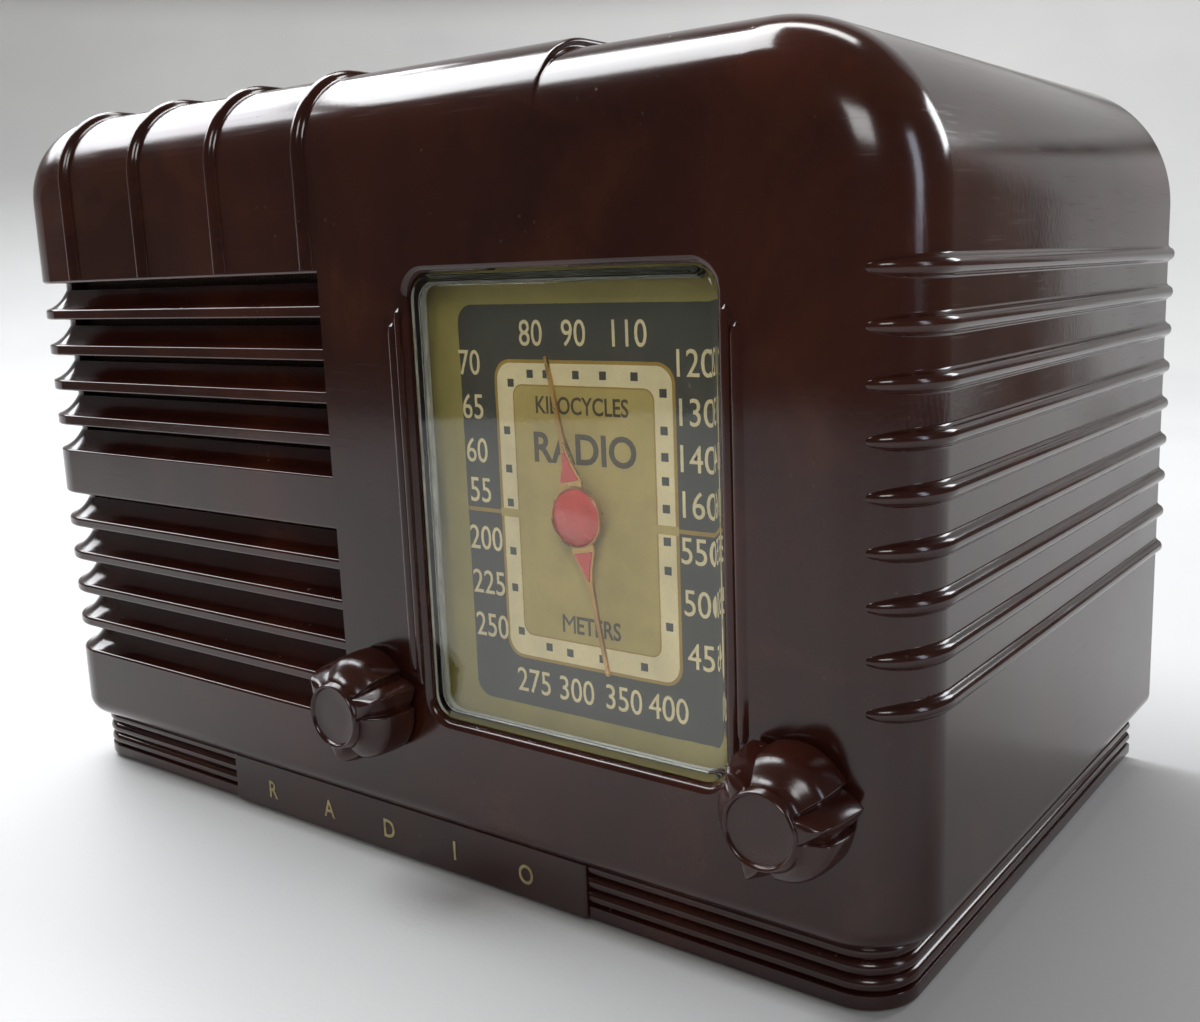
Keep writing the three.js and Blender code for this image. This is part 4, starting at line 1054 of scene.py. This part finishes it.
def vent(x, z):
    half_x, half_z, ease = 13, 2.5, 0.45
    rings = []
    for y, grow in ((REAR_Y - 1, 0.5), (REAR_Y, ease), (REAR_Y + ease, 0), (REAR_FACE - ease, 0),
                    (REAR_FACE, ease), (REAR_FACE + 1, 0.5)):
        ring = rounded_rect(x - half_x - grow, z - half_z - grow, x + half_x + grow, z + half_z + grow,
                            half_z - 0.05 + grow, 7)
        rings.append(standing(ring, y))
    return solid_from(rings)


def make_back():
    inset, low_radius = WALL + 0.5, 3
    left, right, low, high = LEFT + inset, RIGHT - inset, FLOOR_TOP + 0.5, TOP_RIGHT - inset
    r1, r2 = CORNER_RIGHT - inset, CORNER_LEFT - inset

    def outline(shrink):
        r = low_radius
        return (arc(left + r, low + r, r - shrink, 180, 270, 6)
                + arc(right - r, low + r, r - shrink, 270, 360, 6)
                + arc(right - r1, high - r1, r1 - shrink, 0, 90, 18)
                + arc(left + r2, high - r2, r2 - shrink, 90, 180, 14))

    rings = []
    for y, shrink in ((REAR_Y, 0.5), (REAR_Y + 0.4, 0), (REAR_FACE - 0.5, 0), (REAR_FACE, 0.6)):
        rings.append(standing(outline(shrink), y))
    board = Solid("back_board", solid_from(rings))
    board.cut(*[vent(x, z) for z in (120, 134, 148) for x in (-80, -40, 0, 40, 80)])
    board.cut(*[vent(x, 34) for x in (-40, 0, 40, 80)])
    board.cut(*[cylinder("Y", x, z, SCREW_HOLE, REAR_Y - 2, REAR_Y + 6, 24) for x, z in SCREWS])
    board.cut(cylinder("Y", GLAND_X, GLAND_Z, 5, REAR_Y - 2, REAR_Y + 6, 48))
    scored, half = 0.35, 0.6
    for z in (108, 54):
        ring = rounded_rect(-96, z - half, 94, z + half, 0.58, 4)
        board.cut(solid_from([standing(ring, y) for y in (REAR_FACE - scored, REAR_FACE + 1)]))
    piece = board.finish(board_material("pressed_board"))
    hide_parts("rear_cover")
    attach(piece, "radio")


def make_rear_screws():
    """Round-headed slotted screws, each stopped at its own angle."""
    steel = metal_material("screw_steel", (0.30, 0.29, 0.27), (0.48, 0.47, 0.44), 0.34, 300)
    head, edge, dome, slot = 3.4, 0.25, 0.95, 0.55
    y = REAR_FACE + 0.3
    for i, (x, z) in enumerate(SCREWS):
        profile = [(0, REAR_Y - 8), (1.1, REAR_Y - 7.6), (1.6, REAR_Y - 6.8), (1.6, y), (head, y),
                   (3.42, y + edge)]
        for degrees in (20, 40, 60, 75):
            a = radians(degrees)
            profile.append((head * cos(a), y + edge + dome * sin(a)))
        profile.append((0, y + 1.2))
        screw = Solid("back_screw_%d" % (i + 1), turned(profile, x, z, 40))
        a = radians(25 + 50 * i)
        c, s = cos(a), sin(a)
        corners = ((-4, -0.4), (4, -0.4), (4, 0.4), (-4, 0.4))
        ring = [(x + u * c - v * s, z + u * s + v * c) for u, v in corners]
        screw.cut(solid_from([standing(ring, depth) for depth in (y + slot, y + 3)]))
        piece = screw.finish(steel, 35)
        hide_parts("rear_screw_%d" % (i + 1))
        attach(piece, "radio")


def make_grommet():
    y, back = REAR_Y, REAR_FACE
    profile = [(2.9, y - 1.7), (3.2, y - 2), (6.3, y - 2), (6.8, y - 1.5), (6.8, y - 0.3), (4.7, y - 0.3),
               (4.7, back + 0.3), (6.8, back + 0.3), (6.75, back + 0.8), (6.3, back + 1.2), (3.5, back + 1.2),
               (3.05, back + 1.0), (2.9, back + 0.7), (2.9, y - 1.7)]
    rubber = plain_material("soft_rubber", (0.018, 0.017, 0.016), (0.030, 0.028, 0.026), 0.7, 120, 0.00005)
    piece = object_of("cord_bush", turned(profile, GLAND_X, GLAND_Z, 64, "cord_bush"), 40, rubber)
    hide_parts("cord_grommet")
    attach(piece, "radio")


# ---------------- finishes of the parts made in the CAD


def dress_frame():
    steel = metal_material("plated_steel", (0.34, 0.335, 0.31), (0.52, 0.51, 0.48), 0.38, 50, (8, 1, 1))
    alloy = metal_material("drawn_aluminium", (0.50, 0.50, 0.49), (0.68, 0.68, 0.67), 0.34, 60, (1, 1, 12),
                           (0.22, 0.21, 0.19))
    brass = metal_material("plain_brass", (0.42, 0.27, 0.10), (0.60, 0.42, 0.18), 0.34, 90)
    wire = metal_material("enamelled_wire", (0.26, 0.10, 0.045), (0.42, 0.19, 0.085), 0.3, 60, (1, 1, 30))
    card = print_material("olive_card", (0.37, 0.31, 0.085), 0.5)
    felt = plain_material("felt", (0.030, 0.022, 0.018), (0.060, 0.046, 0.038), 0.9, 500, 0.0002, 1500, 0.05)
    phenolic = plain_material("socket_phenolic", (0.014, 0.011, 0.010), (0.028, 0.022, 0.019), 0.45)
    paper = plain_material("cone_paper", (0.018, 0.016, 0.014), (0.040, 0.036, 0.031), 0.88, 220, 0.0001,
                           1200, 0.06)
    board = board_material("baffle_board")
    waxed = plain_material("waxed_cord", (0.020, 0.016, 0.012), (0.050, 0.040, 0.028), 0.7, 900, 0.0001)
    looks = [
        (steel, ["lens_clip_left", "lens_clip_right", "dial_plate", "volume_control", "gang_frame",
                 "drive_drum", "chassis", "output_transformer", "chassis_bolt_1", "chassis_bolt_2",
                 "speaker_basket", "lamp_socket", "speaker_magnet"]),
        (alloy, ["volume_shaft", "tuning_shaft", "gang_rotor", "gang_stator_1", "gang_stator_2",
                 "if_transformer_1", "if_transformer_2", "filter_capacitor"]),
        (brass, ["tuning_bushing"]),
        (wire, ["loop_antenna"]),
        (card, ["dial_card"]),
        (felt, ["foot_pad_1", "foot_pad_2", "foot_pad_3", "foot_pad_4"]),
        (phenolic, [tube + "_tube_socket" for tube in TUBES]),
        (paper, ["cone_surround", "speaker_cone"]),
        (board, ["speaker_board"]),
        (waxed, ["drive_cord"]),
        (tube_material(), ["dial_lamp"] + [tube + "_tube" for tube in TUBES]),
    ]
    for material, nodes in looks:
        for node in nodes:
            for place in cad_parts[node].material_slots:
                place.material = material


make_camera()
make_stage()
BAKELITE = bakelite_material()
KNOB_LOOK = bakelite_material("knob_bakelite", 0.12)
make_cabinet()
make_knob("volume_grip", VOLUME_X, VOLUME_LEAN, "volume", "volume_knob")
make_knob("tuning_grip", TUNING_X, TUNING_LEAN, "tuning", "tuning_knob")
make_lens()
make_dial_print()
make_pointer()
make_nameplate_letters()
make_cloth()
make_back()
make_rear_screws()
make_grommet()
dress_frame()
